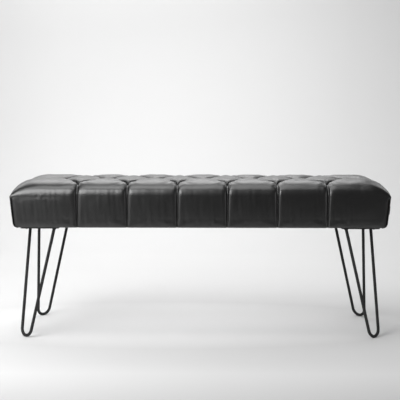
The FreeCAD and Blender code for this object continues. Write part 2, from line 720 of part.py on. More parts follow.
for corner, (sx, sy) in CORNERS.items():
    plate_x, plate_y = sx * dim("plate_x"), sy * dim("plate_y")

    rod = doc.addObject("PartDesign::Body", f"rod_{corner}")
    path = new_sketch(rod, f"rod_path_{corner}", "XZ_Plane")
    bend_circle = Part.Circle(Vector(0, bend), Vector(0, 0, 1), bend)
    path.addGeometry(Part.ArcOfCircle(bend_circle, -math.pi / 2, tangent_angle), False)
    path.addGeometry(Part.LineSegment(touch, rod_end), False)
    path.addConstraint(Sketcher.Constraint("Coincident", 0, 1, -1, 1))
    path.addConstraint(Sketcher.Constraint("PointOnObject", 0, 3, -2))
    path.addConstraint(Sketcher.Constraint("Tangent", 0, 2, 1, 1))
    named_constraint(path, "bend", "dims.rod_bend", "Radius", 0, bend)
    section = new_sketch(rod, f"rod_section_{corner}", "YZ_Plane")
    section.addGeometry(Part.Circle(Vector(0, 0), Vector(0, 0, 1), 5), False)
    section.addConstraint(Sketcher.Constraint("Coincident", 0, 3, -1, 1))
    named_constraint(section, "diameter", "dims.rod_diameter", "Diameter", 0, dim("rod_diameter"))
    pipe = rod.newObject("PartDesign::AdditivePipe", f"rod_half_{corner}")
    pipe.Profile = section
    pipe.Spine = (path, ["Edge1", "Edge2"])
    doc.recompute()
    mirrored = rod.newObject("PartDesign::Mirrored", f"rod_whole_{corner}")
    mirrored.Originals = [pipe]
    mirrored.MirrorPlane = (origin_plane(rod, "YZ_Plane"), [""])
    rod.Tip = mirrored
    doc.recompute()

    foot = Vector(plate_x + sx * dim("leg_splay"), plate_y + sy * dim("leg_splay"), foot_height)
    top = Vector(plate_x, plate_y, dim("leg_height"))
    along = Vector(sx, -sy, 0).normalize()
    up = (top - foot).normalize()
    rod.Placement = FreeCAD.Placement(foot, FreeCAD.Rotation(along, Vector(), up, "XZY"))

    welds = []
    for side in (-1, 1):
        bead = doc.addObject("Part::Cone", f"weld_{corner}_{side + 1}")
        bind(bead, Radius1="dims.rod_diameter / 2 + dims.weld_toe", Radius2="dims.weld_radius")
        bind(bead, Height="dims.weld_height")
        bead.Placement = upright(
            plate_x + along.x * side * spread,
            plate_y + along.y * side * spread,
            dim("leg_height") - dim("weld_height"),
        )
        welds.append(bead)
    joined = doc.addObject("Part::MultiFuse", f"rod_welded_{corner}")
    joined.Shapes = [rod] + welds
    trim = doc.addObject("Part::Box", f"rod_trim_{corner}")
    bind(trim, Length="dims.trim_side", Width="dims.trim_side", Height="dims.leg_height")
    trim.Placement.Base = Vector(plate_x - dim("trim_side") / 2, plate_y - dim("trim_side") / 2, 0)
    hairpin = doc.addObject("Part::Common", f"hairpin_{corner}")
    hairpin.Base, hairpin.Tool = joined, trim
    node(hairpin, f"leg_rod_{corner}")

    plate_body = doc.addObject("PartDesign::Body", f"plate_{corner}")
    plate_pad = padded_rectangle(
        plate_body,
        f"plate_{corner}",
        (dim("plate_side") / 2, "dims.plate_side / 2"),
        (dim("plate_side") / 2, "dims.plate_side / 2"),
        (dim("plate_thickness"), "dims.plate_thickness"),
    )
    upright_edges = [
        f"Edge{i}"
        for i, edge in enumerate(plate_pad.Shape.Edges, start=1)
        if edge.BoundBox.ZLength > 0.5 * dim("plate_thickness")
    ]
    rounded = plate_body.newObject("PartDesign::Fillet", f"plate_corners_{corner}")
    rounded.Base = (plate_pad, upright_edges)
    bind(rounded, Radius="dims.plate_corner")
    doc.recompute()
    holes = new_sketch(plate_body, f"plate_holes_{corner}", "XY_Plane")
    far, near = "hole_far", "hole_near"
    spots = ((sx, far, sy, far), (-sx, far, -sy, far), (sx, near, -sy, far), (-sx, far, sy, near))
    bore = dim("leg_screw_diameter") + dim("hole_play")
    bore_cell = "dims.leg_screw_diameter + dims.hole_play"
    for index, (ux, alias_x, uy, alias_y) in enumerate(spots):
        spot = Vector(ux * dim(alias_x), uy * dim(alias_y))
        holes.addGeometry(Part.Circle(spot, Vector(0, 0, 1), screw_radius), False)
        cell_x, cell_y = f"{ux} * dims.{alias_x}", f"{uy} * dims.{alias_y}"
        named_constraint(holes, f"along{index}", cell_x, "DistanceX", -1, 1, index, 3, spot.x)
        named_constraint(holes, f"across{index}", cell_y, "DistanceY", -1, 1, index, 3, spot.y)
        named_constraint(holes, f"bore{index}", bore_cell, "Diameter", index, bore)
    drilled = plate_body.newObject("PartDesign::Pocket", f"plate_drilled_{corner}")
    drilled.Profile = holes
    drilled.Type = "ThroughAll"
    drilled.Midplane = True
    plate_body.Tip = drilled
    bind(
        plate_body,
        Placement__Base__x=f"{sx} * dims.plate_x",
        Placement__Base__y=f"{sy} * dims.plate_y",
        Placement__Base__z="dims.leg_height",
    )
    node(plate_body, f"leg_plate_{corner}")

doc.recompute()

# Every piece is whole before any is written

failed = [o.Name for o in doc.Objects if "Invalid" in o.State or "Error" in o.State]
for piece in nodes:
    if piece.Shape.isNull() or not piece.Shape.isValid() or not piece.Shape.Solids:
        failed.append(piece.Label)
if failed:
    raise RuntimeError(f"failed: {failed}")
os.makedirs("parts", exist_ok=True)
for piece in nodes:
    piece.Shape.exportStep(f"parts/{piece.Label}.step")
    print(piece.Label, len(piece.Shape.Solids), round(piece.Shape.Volume))
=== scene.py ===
"""Looks of the tufted ottoman: its cushion, underside, legs and inner frame, in a plain studio.

Metres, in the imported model's frame: +Z is up, +X runs along the seat and -Y is the front.
"""
import logging
import math
from dataclasses import dataclass, field, replace
from enum import Enum
from typing import Any, Mapping, Optional, Union

import bpy
import numpy as np
from mathutils import Matrix, Vector


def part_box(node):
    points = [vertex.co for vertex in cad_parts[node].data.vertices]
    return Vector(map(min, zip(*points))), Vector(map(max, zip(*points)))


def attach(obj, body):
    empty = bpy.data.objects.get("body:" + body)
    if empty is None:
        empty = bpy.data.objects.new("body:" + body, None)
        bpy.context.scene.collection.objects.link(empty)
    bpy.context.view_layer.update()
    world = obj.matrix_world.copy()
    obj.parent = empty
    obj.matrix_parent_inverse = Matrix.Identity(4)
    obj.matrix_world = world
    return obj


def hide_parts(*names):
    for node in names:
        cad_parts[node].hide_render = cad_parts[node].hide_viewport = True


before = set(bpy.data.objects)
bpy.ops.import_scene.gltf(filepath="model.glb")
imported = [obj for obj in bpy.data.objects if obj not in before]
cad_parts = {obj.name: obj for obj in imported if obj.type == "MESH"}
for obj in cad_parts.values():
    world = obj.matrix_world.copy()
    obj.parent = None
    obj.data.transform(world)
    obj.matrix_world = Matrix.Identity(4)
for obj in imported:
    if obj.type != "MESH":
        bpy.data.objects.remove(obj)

Array = np.ndarray
Piece = bpy.types.Object
Material = bpy.types.Material
Triple = tuple[float, float, float]
Colour = Triple
Key = Union[str, int]
Faces = Union[Array, list[list[int]]]
BODY = "root"
CORNERS = ("front_left", "front_right", "rear_left", "rear_right")
# Attribute that is 1 on the leather's puffs and 0 in its folds; the leather's finish reads it for gloss and
# for painted shade, darker in the folds
CROWN = "crown"
# Levels that the weights of a vertex group are rounded to
WEIGHT_LEVELS = 20
# Lengths that count as none
ROUNDING = 1e-6
LEAST_LENGTH = 1e-12
log = logging.getLogger("ottoman")


# Shader building

class Wire:
    """A node's output that can be added to, taken from and multiplied with numbers and other outputs."""

    def __init__(self, recipe: "Recipe", socket: bpy.types.NodeSocket) -> None:
        """Keep the recipe that holds the node and the socket itself."""
        self.recipe = recipe
        self.socket = socket

    def _math(self, operation: str, first: "Value", second: "Value") -> "Wire":
        """Add one Math node."""
        return self.recipe.node("ShaderNodeMath", {"operation": operation}, {0: first, 1: second})

    def __add__(self, other: "Value") -> "Wire":
        """Sum, with the number on either side."""
        return self._math("ADD", self, other)

    def __sub__(self, other: "Value") -> "Wire":
        """Difference."""
        return self._math("SUBTRACT", self, other)

    def __rsub__(self, other: "Value") -> "Wire":
        """Difference with a number on the left."""
        return self._math("SUBTRACT", other, self)

    def __mul__(self, other: "Value") -> "Wire":
        """Product, with the number on either side."""
        return self._math("MULTIPLY", self, other)

    __radd__ = __add__
    __rmul__ = __mul__


Value = Union[Wire, float]
Tint = Union[Wire, Colour]


class Recipe:
    """A material in the making: one principled shader and the nodes that feed it."""

    def __init__(self, name: str) -> None:
        """Start a material that has only its shader."""
        self.material = bpy.data.materials.new(name)
        self.material.use_nodes = True
        self.tree = self.material.node_tree
        self.shader = self.tree.nodes["Principled BSDF"]

    def feed(self, socket: bpy.types.NodeSocket, value: Any) -> None:
        """Link an output to a socket, or set the socket's own value."""
        if isinstance(value, Wire):
            self.tree.links.new(value.socket, socket)
        elif isinstance(value, tuple) and len(value) < len(socket.default_value):
            socket.default_value = (*value, 1.0)
        else:
            socket.default_value = value

    def node(
        self,
        kind: str,
        settings: Optional[Mapping[str, Any]] = None,
        inputs: Optional[Mapping[Key, Any]] = None,
        output: Key = 0,
    ) -> Wire:
        """Add one node.

        Args:
            kind: Blender's name for the node's type.
            settings: the node's own properties, set first.
            inputs: values or links for its sockets, by name or number.
            output: the socket that is handed on.

        Returns:
            The chosen output.
        """
        made = self.tree.nodes.new(kind)
        for key, value in (settings or {}).items():
            setattr(made, key, value)
        for key, value in (inputs or {}).items():
            self.feed(made.inputs[key], value)
        return Wire(self, made.outputs[output])

    def place(self, stretch: Triple = (1.0, 1.0, 1.0)) -> Wire:
        """Object coordinates, multiplied by a factor along each axis."""
        spot = self.node("ShaderNodeTexCoord", output="Object")
        return self.node("ShaderNodeMapping", None, {"Vector": spot, "Scale": stretch})

    def axis(self, letter: str) -> Wire:
        """One object coordinate, X, Y or Z."""
        return self.node("ShaderNodeSeparateXYZ", None, {0: self.place()}, letter)

    def noise(self, place: Wire, size: float, detail: float = 2.0, roughness: float = 0.5) -> Wire:
        """Soft noise whose blotches are about the given size, from 0 to 1."""
        inputs = {"Vector": place, "Scale": 1.0 / size, "Detail": detail, "Roughness": roughness}
        return self.node("ShaderNodeTexNoise", None, inputs)

    def cells(self, place: Wire, size: float, feature: str = "F1") -> Wire:
        """Distance to the nearest cell point, or to the nearest wall between cells."""
        inputs = {"Vector": place, "Scale": 1.0 / size}
        return self.node("ShaderNodeTexVoronoi", {"feature": feature}, inputs, "Distance")

    def spread(
        self, value: Value, low: float, high: float, out_low: float = 0.0, out_high: float = 1.0,
    ) -> Wire:
        """Map a range of values onto another, held at its ends."""
        inputs = {"Value": value, 1: low, 2: high, 3: out_low, 4: out_high}
        return self.node("ShaderNodeMapRange", {"clamp": True}, inputs)

    def tint(self, share: Value, first: Tint, second: Tint) -> Wire:
        """Mix two colours."""
        inputs = {0: share, 6: first, 7: second}
        return self.node("ShaderNodeMix", {"data_type": "RGBA"}, inputs, 2)

    def bump(self, height: Value, depth: float, strength: float, under: Optional[Wire] = None) -> Wire:
        """Turn a height of 0 to 1 into a normal, over another bump if one is given."""
        inputs = {"Height": height, "Distance": depth, "Strength": strength}
        if under is not None:
            inputs["Normal"] = under
        return self.node("ShaderNodeBump", None, inputs)

    def done(self, **sockets: Any) -> Material:
        """Feed the shader's sockets, an underscore standing for a space, and hand over the material."""
        for key, value in sockets.items():
            self.feed(self.shader.inputs[key.replace("_", " ")], value)
        return self.material


# Finishes

@dataclass(frozen=True)
class LeatherFinish:
    """Black upholstery leather with a fine pebbled grain and a satin top coat."""

    colour: Colour = (0.0035, 0.0035, 0.0036)
    # Paler colour on the puffs: rub wear in blotches, and painted shade in the folds, which keep the plain
    # colour
    rubbed: Colour = (0.0062, 0.0061, 0.0060)
    groove: Colour = (0.004, 0.004, 0.004)
    pebble: float = 0.0014
    pore: float = 0.00045
    blotch: float = 0.06
    streak: float = 0.007
    streak_stretch: Triple = (1.0, 1.0, 0.12)
    grain_depth: float = 0.00022
    streak_depth: float = 0.0012
    satin: float = 0.32
    dull: float = 0.44
    sheen: float = 0.9

    def make(self) -> Material:
        """Build the material: the puffs are glossier than the folds, and paler, with rub wear on the puffs
        and painted shade in the folds.
        """
        r = Recipe("black_leather")
        place = r.place()
        crown = r.node("ShaderNodeAttribute", {"attribute_name": CROWN}, output="Fac")
        blotch = r.noise(place, self.blotch, 4.0, 0.6)
        walls = r.cells(place, self.pebble, "DISTANCE_TO_EDGE")
        pores = r.noise(place, self.pore, 3.0, 0.65)
        streaks = r.noise(r.place(self.streak_stretch), self.streak, 3.0, 0.55)
        height = r.spread(walls, 0.0, 0.32) * 0.6 + pores * 0.4
        # Painted shade and wear: the folds keep the darker colour and the puffs go paler, in blotches of rub
        # wear
        wear_and_fold_shade = crown * r.spread(blotch, 0.35, 0.7, 0.3, 1.0)
        base = r.tint(wear_and_fold_shade, self.colour, self.rubbed)
        gloss = self.dull - (self.dull - self.satin) * (crown * 0.7 + blotch * 0.3)
        return r.done(
            Base_Color=r.tint(r.spread(walls, 0.0, 0.07, 0.35, 0.0), base, self.groove),
            Roughness=gloss + (pores - 0.5) * 0.06,
            Specular_IOR_Level=self.sheen,
            Normal=r.bump(height, self.grain_depth, 0.12, r.bump(streaks, self.streak_depth, 0.04)),
        )


@dataclass(frozen=True)
class PaintFinish:
    """Black powder coat on steel, a little rubbed where a foot meets the floor."""

    colour: Colour = (0.021, 0.021, 0.0215)
    dust: Colour = (0.03, 0.03, 0.03)
    steel: Colour = (0.16, 0.155, 0.15)
    peel: float = 0.0011
    peel_depth: float = 0.00012
    scratch: float = 0.003
    mottle: float = 0.02
    blotch: float = 0.05
    rub_height: float = 0.004
    roughness: float = 0.54
    sheen: float = 0.2

    def make(self) -> Material:
        """Build the material."""
        r = Recipe("black_powder_coat")
        place = r.place()
        low = r.spread(r.axis("Z"), 0.0, self.rub_height, 1.0, 0.0)
        rubbed = low * r.spread(r.noise(place, self.scratch, 4.0, 0.7), 0.42, 0.6)
        dust = r.spread(r.noise(place, self.blotch, 5.0, 0.6), 0.4, 0.75, 0.0, 0.25)
        mottle = r.noise(place, self.mottle, 3.0, 0.6)
        return r.done(
            Base_Color=r.tint(rubbed, r.tint(dust, self.colour, self.dust), self.steel),
            Roughness=self.roughness + mottle * 0.14 + rubbed * 0.1,
            Specular_IOR_Level=self.sheen,
            Normal=r.bump(r.noise(place, self.peel, 1.0, 0.5), self.peel_depth, 0.25),
        )


class Grain(Enum):
    """Which way the fibres of a piece of timber run, as a squeeze of the pattern along each axis."""

    LENGTHWISE = (0.06, 1.0, 1.0)
    CROSSWISE = (1.0, 0.06, 1.0)


@dataclass(frozen=True)
class TimberFinish:
    """Planed softwood, with rings drawn out along the grain."""

    name: str
    grain: Grain
    pale: Colour = (0.62, 0.44, 0.25)
    dark: Colour = (0.40, 0.25, 0.12)
    ring: float = 0.009
    wander: float = 0.05
    fibre: float = 0.0012
    fibre_depth: float = 0.0003

    def make(self) -> Material:
        """Build the material."""
        r = Recipe(self.name)
        place = r.place(self.grain.value)
        wander = r.noise(place, self.wander, 3.0, 0.5)
        rings = r.node(
            "ShaderNodeTexWave",
            {"bands_direction": "Z"},
            {"Vector": place, "Scale": 0.3 / self.ring, "Distortion": 6.0, "Detail": 2.0},
            "Fac",
        )
        fibres = r.noise(place, self.fibre, 4.0, 0.6)
        base = r.tint(r.spread(rings * 0.7 + wander * 0.3, 0.2, 0.8), self.pale, self.dark)
        return r.done(
            Base_Color=r.tint(r.spread(fibres, 0.5, 0.75, 0.0, 0.35), base, self.dark),
            Roughness=0.58 + fibres * 0.2,
            Normal=r.bump(fibres, self.fibre_depth, 0.3),
        )


@dataclass(frozen=True)
class MetalFinish:
    """Plated or blackened screws and washers."""

    name: str
    colour: Colour
    tarnish: Colour
    metallic: float
    roughness: float
    bloom: float = 0.004
    scratch: float = 0.002
    scratch_stretch: Triple = (1.0, 1.0, 8.0)
    scratch_depth: float = 0.00008

    def make(self) -> Material:
        """Build the material."""
        r = Recipe(self.name)
        bloom = r.spread(r.noise(r.place(), self.bloom, 4.0, 0.65), 0.35, 0.7)
        scratch = r.noise(r.place(self.scratch_stretch), self.scratch, 2.0, 0.6)
        return r.done(
            Base_Color=r.tint(bloom, self.colour, self.tarnish),
            Metallic=self.metallic,
            Roughness=self.roughness + bloom * 0.12,
            Normal=r.bump(scratch, self.scratch_depth, 0.3),
        )


@dataclass(frozen=True)
class FibreFinish:
    """Cloth, wadding, foam or twine: a soft tangle of fibres or pores over a patchy colour.

    Pits and patches are measured in fibres.
    """

    name: str
    colour: Colour
    shade: Colour
    fibre: float
    relief: float
    stretch: Triple = (1.0, 1.0, 1.0)
    pit: float = 2.5
    patch: float = 30.0

    def make(self) -> Material:
        """Build the material."""
        r = Recipe(self.name)
        place = r.place(self.stretch)
        tangle = r.noise(place, self.fibre, 4.0, 0.7)
        pits = r.cells(place, self.fibre * self.pit)
        patch = r.noise(place, self.fibre * self.patch, 3.0, 0.5)
        share = r.spread(tangle * 0.6 + patch * 0.4, 0.3, 0.7)
        return r.done(
            Base_Color=r.tint(share, self.colour, self.shade),
            Roughness=0.86 + tangle * 0.12,
            Specular_IOR_Level=0.2,
            Normal=r.bump(tangle * 0.6 + pits * 0.4, self.relief, 0.5),
        )


# Curves

def smooth_step(value: Array) -> Array:
    """Ease from 0 to 1 with level ends: three squares less two cubes of the held value."""
    held = np.clip(value, 0.0, 1.0)
    return held * held * (3.0 - 2.0 * held)


def share_left(distance: Array, reach: Union[float, Array]) -> Array:
    """Share of a reach that is left at a distance: 1 at none, and 0 at the reach and beyond."""
    return np.clip(1.0 - distance / reach, 0.0, 1.0)


def bell(distance: Array, width: float) -> Array:
    """Bell curve of a distance, 1 at none."""
    return np.exp(-((distance / width) ** 2))


@dataclass(frozen=True)
class Ripples:
    """Gentle unevenness: a sum of waves with seeded directions, lengths and phases."""

    seed: int
    shortest: float
    longest: float
    stretch: float = 1.0
    count: int = 20

    def __call__(self, p: Array, q: Array) -> Array:
        """Height of the ripples, with a spread of about 1.

        Args:
            p: first coordinate along the surface.
            q: second coordinate; the ripples are drawn out along it by the stretch.

        Returns:
            One height for each point.
        """
        rng = np.random.default_rng(self.seed)
        turn = rng.uniform(0.0, np.pi, self.count)[:, None]
        length = np.exp(rng.uniform(np.log(self.shortest), np.log(self.longest), self.count))[:, None]
        phase = rng.uniform(0.0, 2.0 * np.pi, self.count)[:, None]
        run = np.cos(turn) * p + np.sin(turn) * q / self.stretch
        return np.sin(2.0 * np.pi * run / length + phase).sum(0) / math.sqrt(self.count / 2.0)


# Pieces

def grid_quads(index: Array, flipped: bool = False) -> Array:
    """Quads over a grid of point numbers, facing along rows cross columns or the other way."""
    corners = [index[:-1, :-1], index[1:, :-1], index[1:, 1:], index[:-1, 1:]]
    quads = np.stack(corners, axis=-1).reshape(-1, 4)
    return quads[:, ::-1] if flipped else quads


def point_numbers(points: Array) -> Array:
    """Number of each point, in the grid's shape."""
    return np.arange(points[..., 0].size).reshape(points.shape[:-1])


def closed_faces(index: Array) -> list[list[int]]:
    """Faces of several closed forms, from the numbers of their points round each form and then along it."""
    joined = np.concatenate([index, index[:, :1]], axis=1)
    faces = [face for form in joined for face in grid_quads(form).tolist()]
    faces += [form[::-1, 0].tolist() for form in index]
    faces += [form[:, -1].tolist() for form in index]
    return faces


def mesh_piece(name: str, points: Array, faces: Faces, material: Material) -> Piece:
    """Make a smooth-shaded mesh object.

    Args:
        name: the piece's name.
        points: its points, in an array whose last axis is x, y and z.
        faces: its faces, as an array of quads or a list of point numbers.
        material: its finish.

    Returns:
        The object, at the origin.
    """
    mesh = bpy.data.meshes.new(name)
    faces = faces.tolist() if isinstance(faces, Array) else faces
    mesh.from_pydata(points.reshape(-1, 3).tolist(), [], faces)
    mesh.materials.append(material)
    mesh.shade_smooth()
    piece = bpy.data.objects.new(name, mesh)
    bpy.context.scene.collection.objects.link(piece)
    return piece


def weighted_group(piece: Piece, name: str, weights: Array) -> str:
    """Give a piece a vertex group with rounded weights, and hand back its name."""
    group = piece.vertex_groups.new(name=name)
    levels = np.round(weights * WEIGHT_LEVELS).astype(int)
    for level in range(1, WEIGHT_LEVELS + 1):
        group.add(np.flatnonzero(levels == level).tolist(), level / WEIGHT_LEVELS, "REPLACE")
    return group.name


def note_crown(piece: Piece, crown: Array) -> None:
    """Write the crown of each point, which the leather's finish reads for its gloss and for painted shade in
    the folds.
    """
    shade = piece.data.attributes.new(CROWN, "FLOAT", "POINT")
    shade.data.foreach_set("value", crown.astype(np.float32).ravel())


def thicken(piece: Piece, thickness: float) -> bpy.types.Modifier:
    """Give a surface a thickness, inwards."""
    wall = piece.modifiers.new("thickness", "SOLIDIFY")
    wall.thickness = thickness
    wall.offset = -1.0
    return wall


def enrol(piece: Piece, slot: str, *nodes: str) -> None:
    """Make a piece ride on the body and stand for its solids, which it hides."""
    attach(piece, BODY)
    if nodes:
        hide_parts(*nodes)
    stands_for = ", ".join(nodes) or "nothing"
    log.info("%s: %d faces, stands for %s", piece.name, len(piece.data.polygons), stands_for)


def dress(node: str, material: Material) -> None:
    """Put a finish on every slot of a solid that stays as it is."""
    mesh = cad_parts[node].data
    if not mesh.materials:
        mesh.materials.append(material)
    for number in range(len(mesh.materials)):
        mesh.materials[number] = material
    log.info("%s: dressed in %s", node, material.name)


# Layout of the cushion

@dataclass(frozen=True)
class Tufting:
    """The grid of buttons: six in the front and rear rows, seven in the middle row, half a pitch over."""

    pitch: float = 0.1615
    shift: float = 0.0075
    row: float = 0.145
    columns: int = 6

    def outer(self) -> Array:
        """Places along the seat of the front and rear buttons."""
        return self.shift + self.pitch * (np.arange(self.columns) - (self.columns - 1) / 2.0)

    def middle(self) -> Array:
        """Places along the seat of the middle buttons."""
        return self.shift + self.pitch * (np.arange(self.columns + 1) - self.columns / 2.0)

    def rows(self) -> dict[str, tuple[Array, float]]:
        """Each row's places along the seat and its place across it."""
        return {
            "front": (self.outer(), -self.row),
            "middle": (self.middle(), 0.0),
            "rear": (self.outer(), self.row),
        }

    def points(self) -> Array:
        """All buttons, as rows of place along and place across."""
        return np.concatenate([np.column_stack([x, np.full_like(x, y)]) for x, y in self.rows().values()])

    def to_diagonals(self, p: Array, q: Array) -> Array:
        """Distance to the nearest diagonal pleat.

        The pleats repeat every half pitch and mirror about the middle row, so one stretch from an outer
        button to a middle button serves for all: the distance is that to this stretch, in the folded
        coordinates. Past the last middle buttons only the button itself counts.
        """
        half = self.pitch / 2.0
        step = (p - self.shift) / self.pitch
        along = half - np.abs(step - np.round(step)) * self.pitch
        across = np.abs(q)
        share = (along * half + (self.row - across) * self.row) / (half**2 + self.row**2)
        share = np.clip(share, 0.0, 1.0)
        near = np.hypot(along - share * half, across - self.row * (1.0 - share))
        middle = self.middle()
        past = np.maximum(middle[0] - p, p - middle[-1])
        return np.where(past > 0.0, np.hypot(past, q), near)

    def to_side_pleats(self, p: Array, q: Array) -> Array:
        """Distance to the pleats that run from the outer buttons down the front and the rear."""
        aside = np.abs(p[:, None] - self.outer()).min(1)
        return np.hypot(aside, np.maximum(self.row - np.abs(q), 0.0))

    def to_end_pleats(self, p: Array, q: Array) -> Array:
        """Distance to the pleats that run from the last middle buttons down the ends."""
        middle = self.middle()
        short = np.where(p < 0.0, p - middle[0], middle[-1] - p)
        return np.hypot(q, np.maximum(short, 0.0))

    def to_buttons(self, p: Array, q: Array) -> tuple[Array, Array, Array]:
        """Distance to the nearest button, the direction from it, and its number."""
        spots = self.points()
        away_p = p[:, None] - spots[:, 0]
        away_q = q[:, None] - spots[:, 1]
        distance = np.hypot(away_p, away_q)
        number = distance.argmin(1)
        pick = np.arange(len(p))
        return distance[pick, number], np.arctan2(away_q[pick, number], away_p[pick, number]), number


@dataclass(frozen=True)
class PleatRun:
    """A pleat: places along its run, how deep and wide it draws the padding in, and its crease and lips.

    The sharper it is, the steeper its sides and the fuller the puffs beside it.
    """

    places: tuple[float, ...]
    draw: tuple[float, ...]
    width: tuple[float, ...]
    crease: tuple[float, ...]
    lip: tuple[float, ...]
    sharpness: float
    crease_power: int = 3

    def hollow(self, run: Array, distance: Array) -> Array:
        """Depth of the broad hollow: the draw times a power of the share of the width that is left."""
        left = share_left(distance, np.interp(run, self.places, self.width))
        return np.interp(run, self.places, self.draw) * left**self.sharpness

    def furrow(self, run: Array, distance: Array, wider: float) -> Array:
        """Depth of the crease: a power of the share of the lip that is left, steep to a thin bottom."""
        left = share_left(distance, wider * np.interp(run, self.places, self.lip))
        return np.interp(run, self.places, self.crease) * left**self.crease_power


@dataclass
class Shell:
    """Welded grids that cover the cushion, with the unfolded coordinates of each point.

    along and across run from -1 to 1 over the top. p and q are lengths in the same directions, and go on
    down the sides as if these were laid flat. drop is the way down a side and inset the way inwards under
    the seat. places has the point numbers of each grid.
    """

    points: Array
    quads: Array
    along: Array
    across: Array
    p: Array
    q: Array
    drop: Array
    inset: Array
    places: list[Array]

    def normals(self, points: Array) -> Array:
        """Unit normals at the points: the sum of the cross products of each quad's diagonals."""
        a, b, c, d = (points[self.quads[:, k]] for k in range(4))
        facing = np.cross(c - a, d - b)
        total = np.zeros_like(points)
        for k in range(4):
            np.add.at(total, self.quads[:, k], facing)
        return total / np.maximum(np.linalg.norm(total, axis=1, keepdims=True), LEAST_LENGTH)

    def relaxed(self, points: Array, share: Array, rounds: int) -> Array:
        """Move each point a share of the way to the mean of its neighbours, several times."""
        ends = np.concatenate([self.quads[:, [k, (k + 1) % 4]] for k in range(4)])
        ends = np.concatenate([ends, ends[:, ::-1]])
        count = np.bincount(ends[:, 0], minlength=len(points))[:, None]
        for _ in range(rounds):
            total = np.zeros_like(points)
            np.add.at(total, ends[:, 0], points[ends[:, 1]])
            points = points + share[:, None] * (total / count - points)
        return points


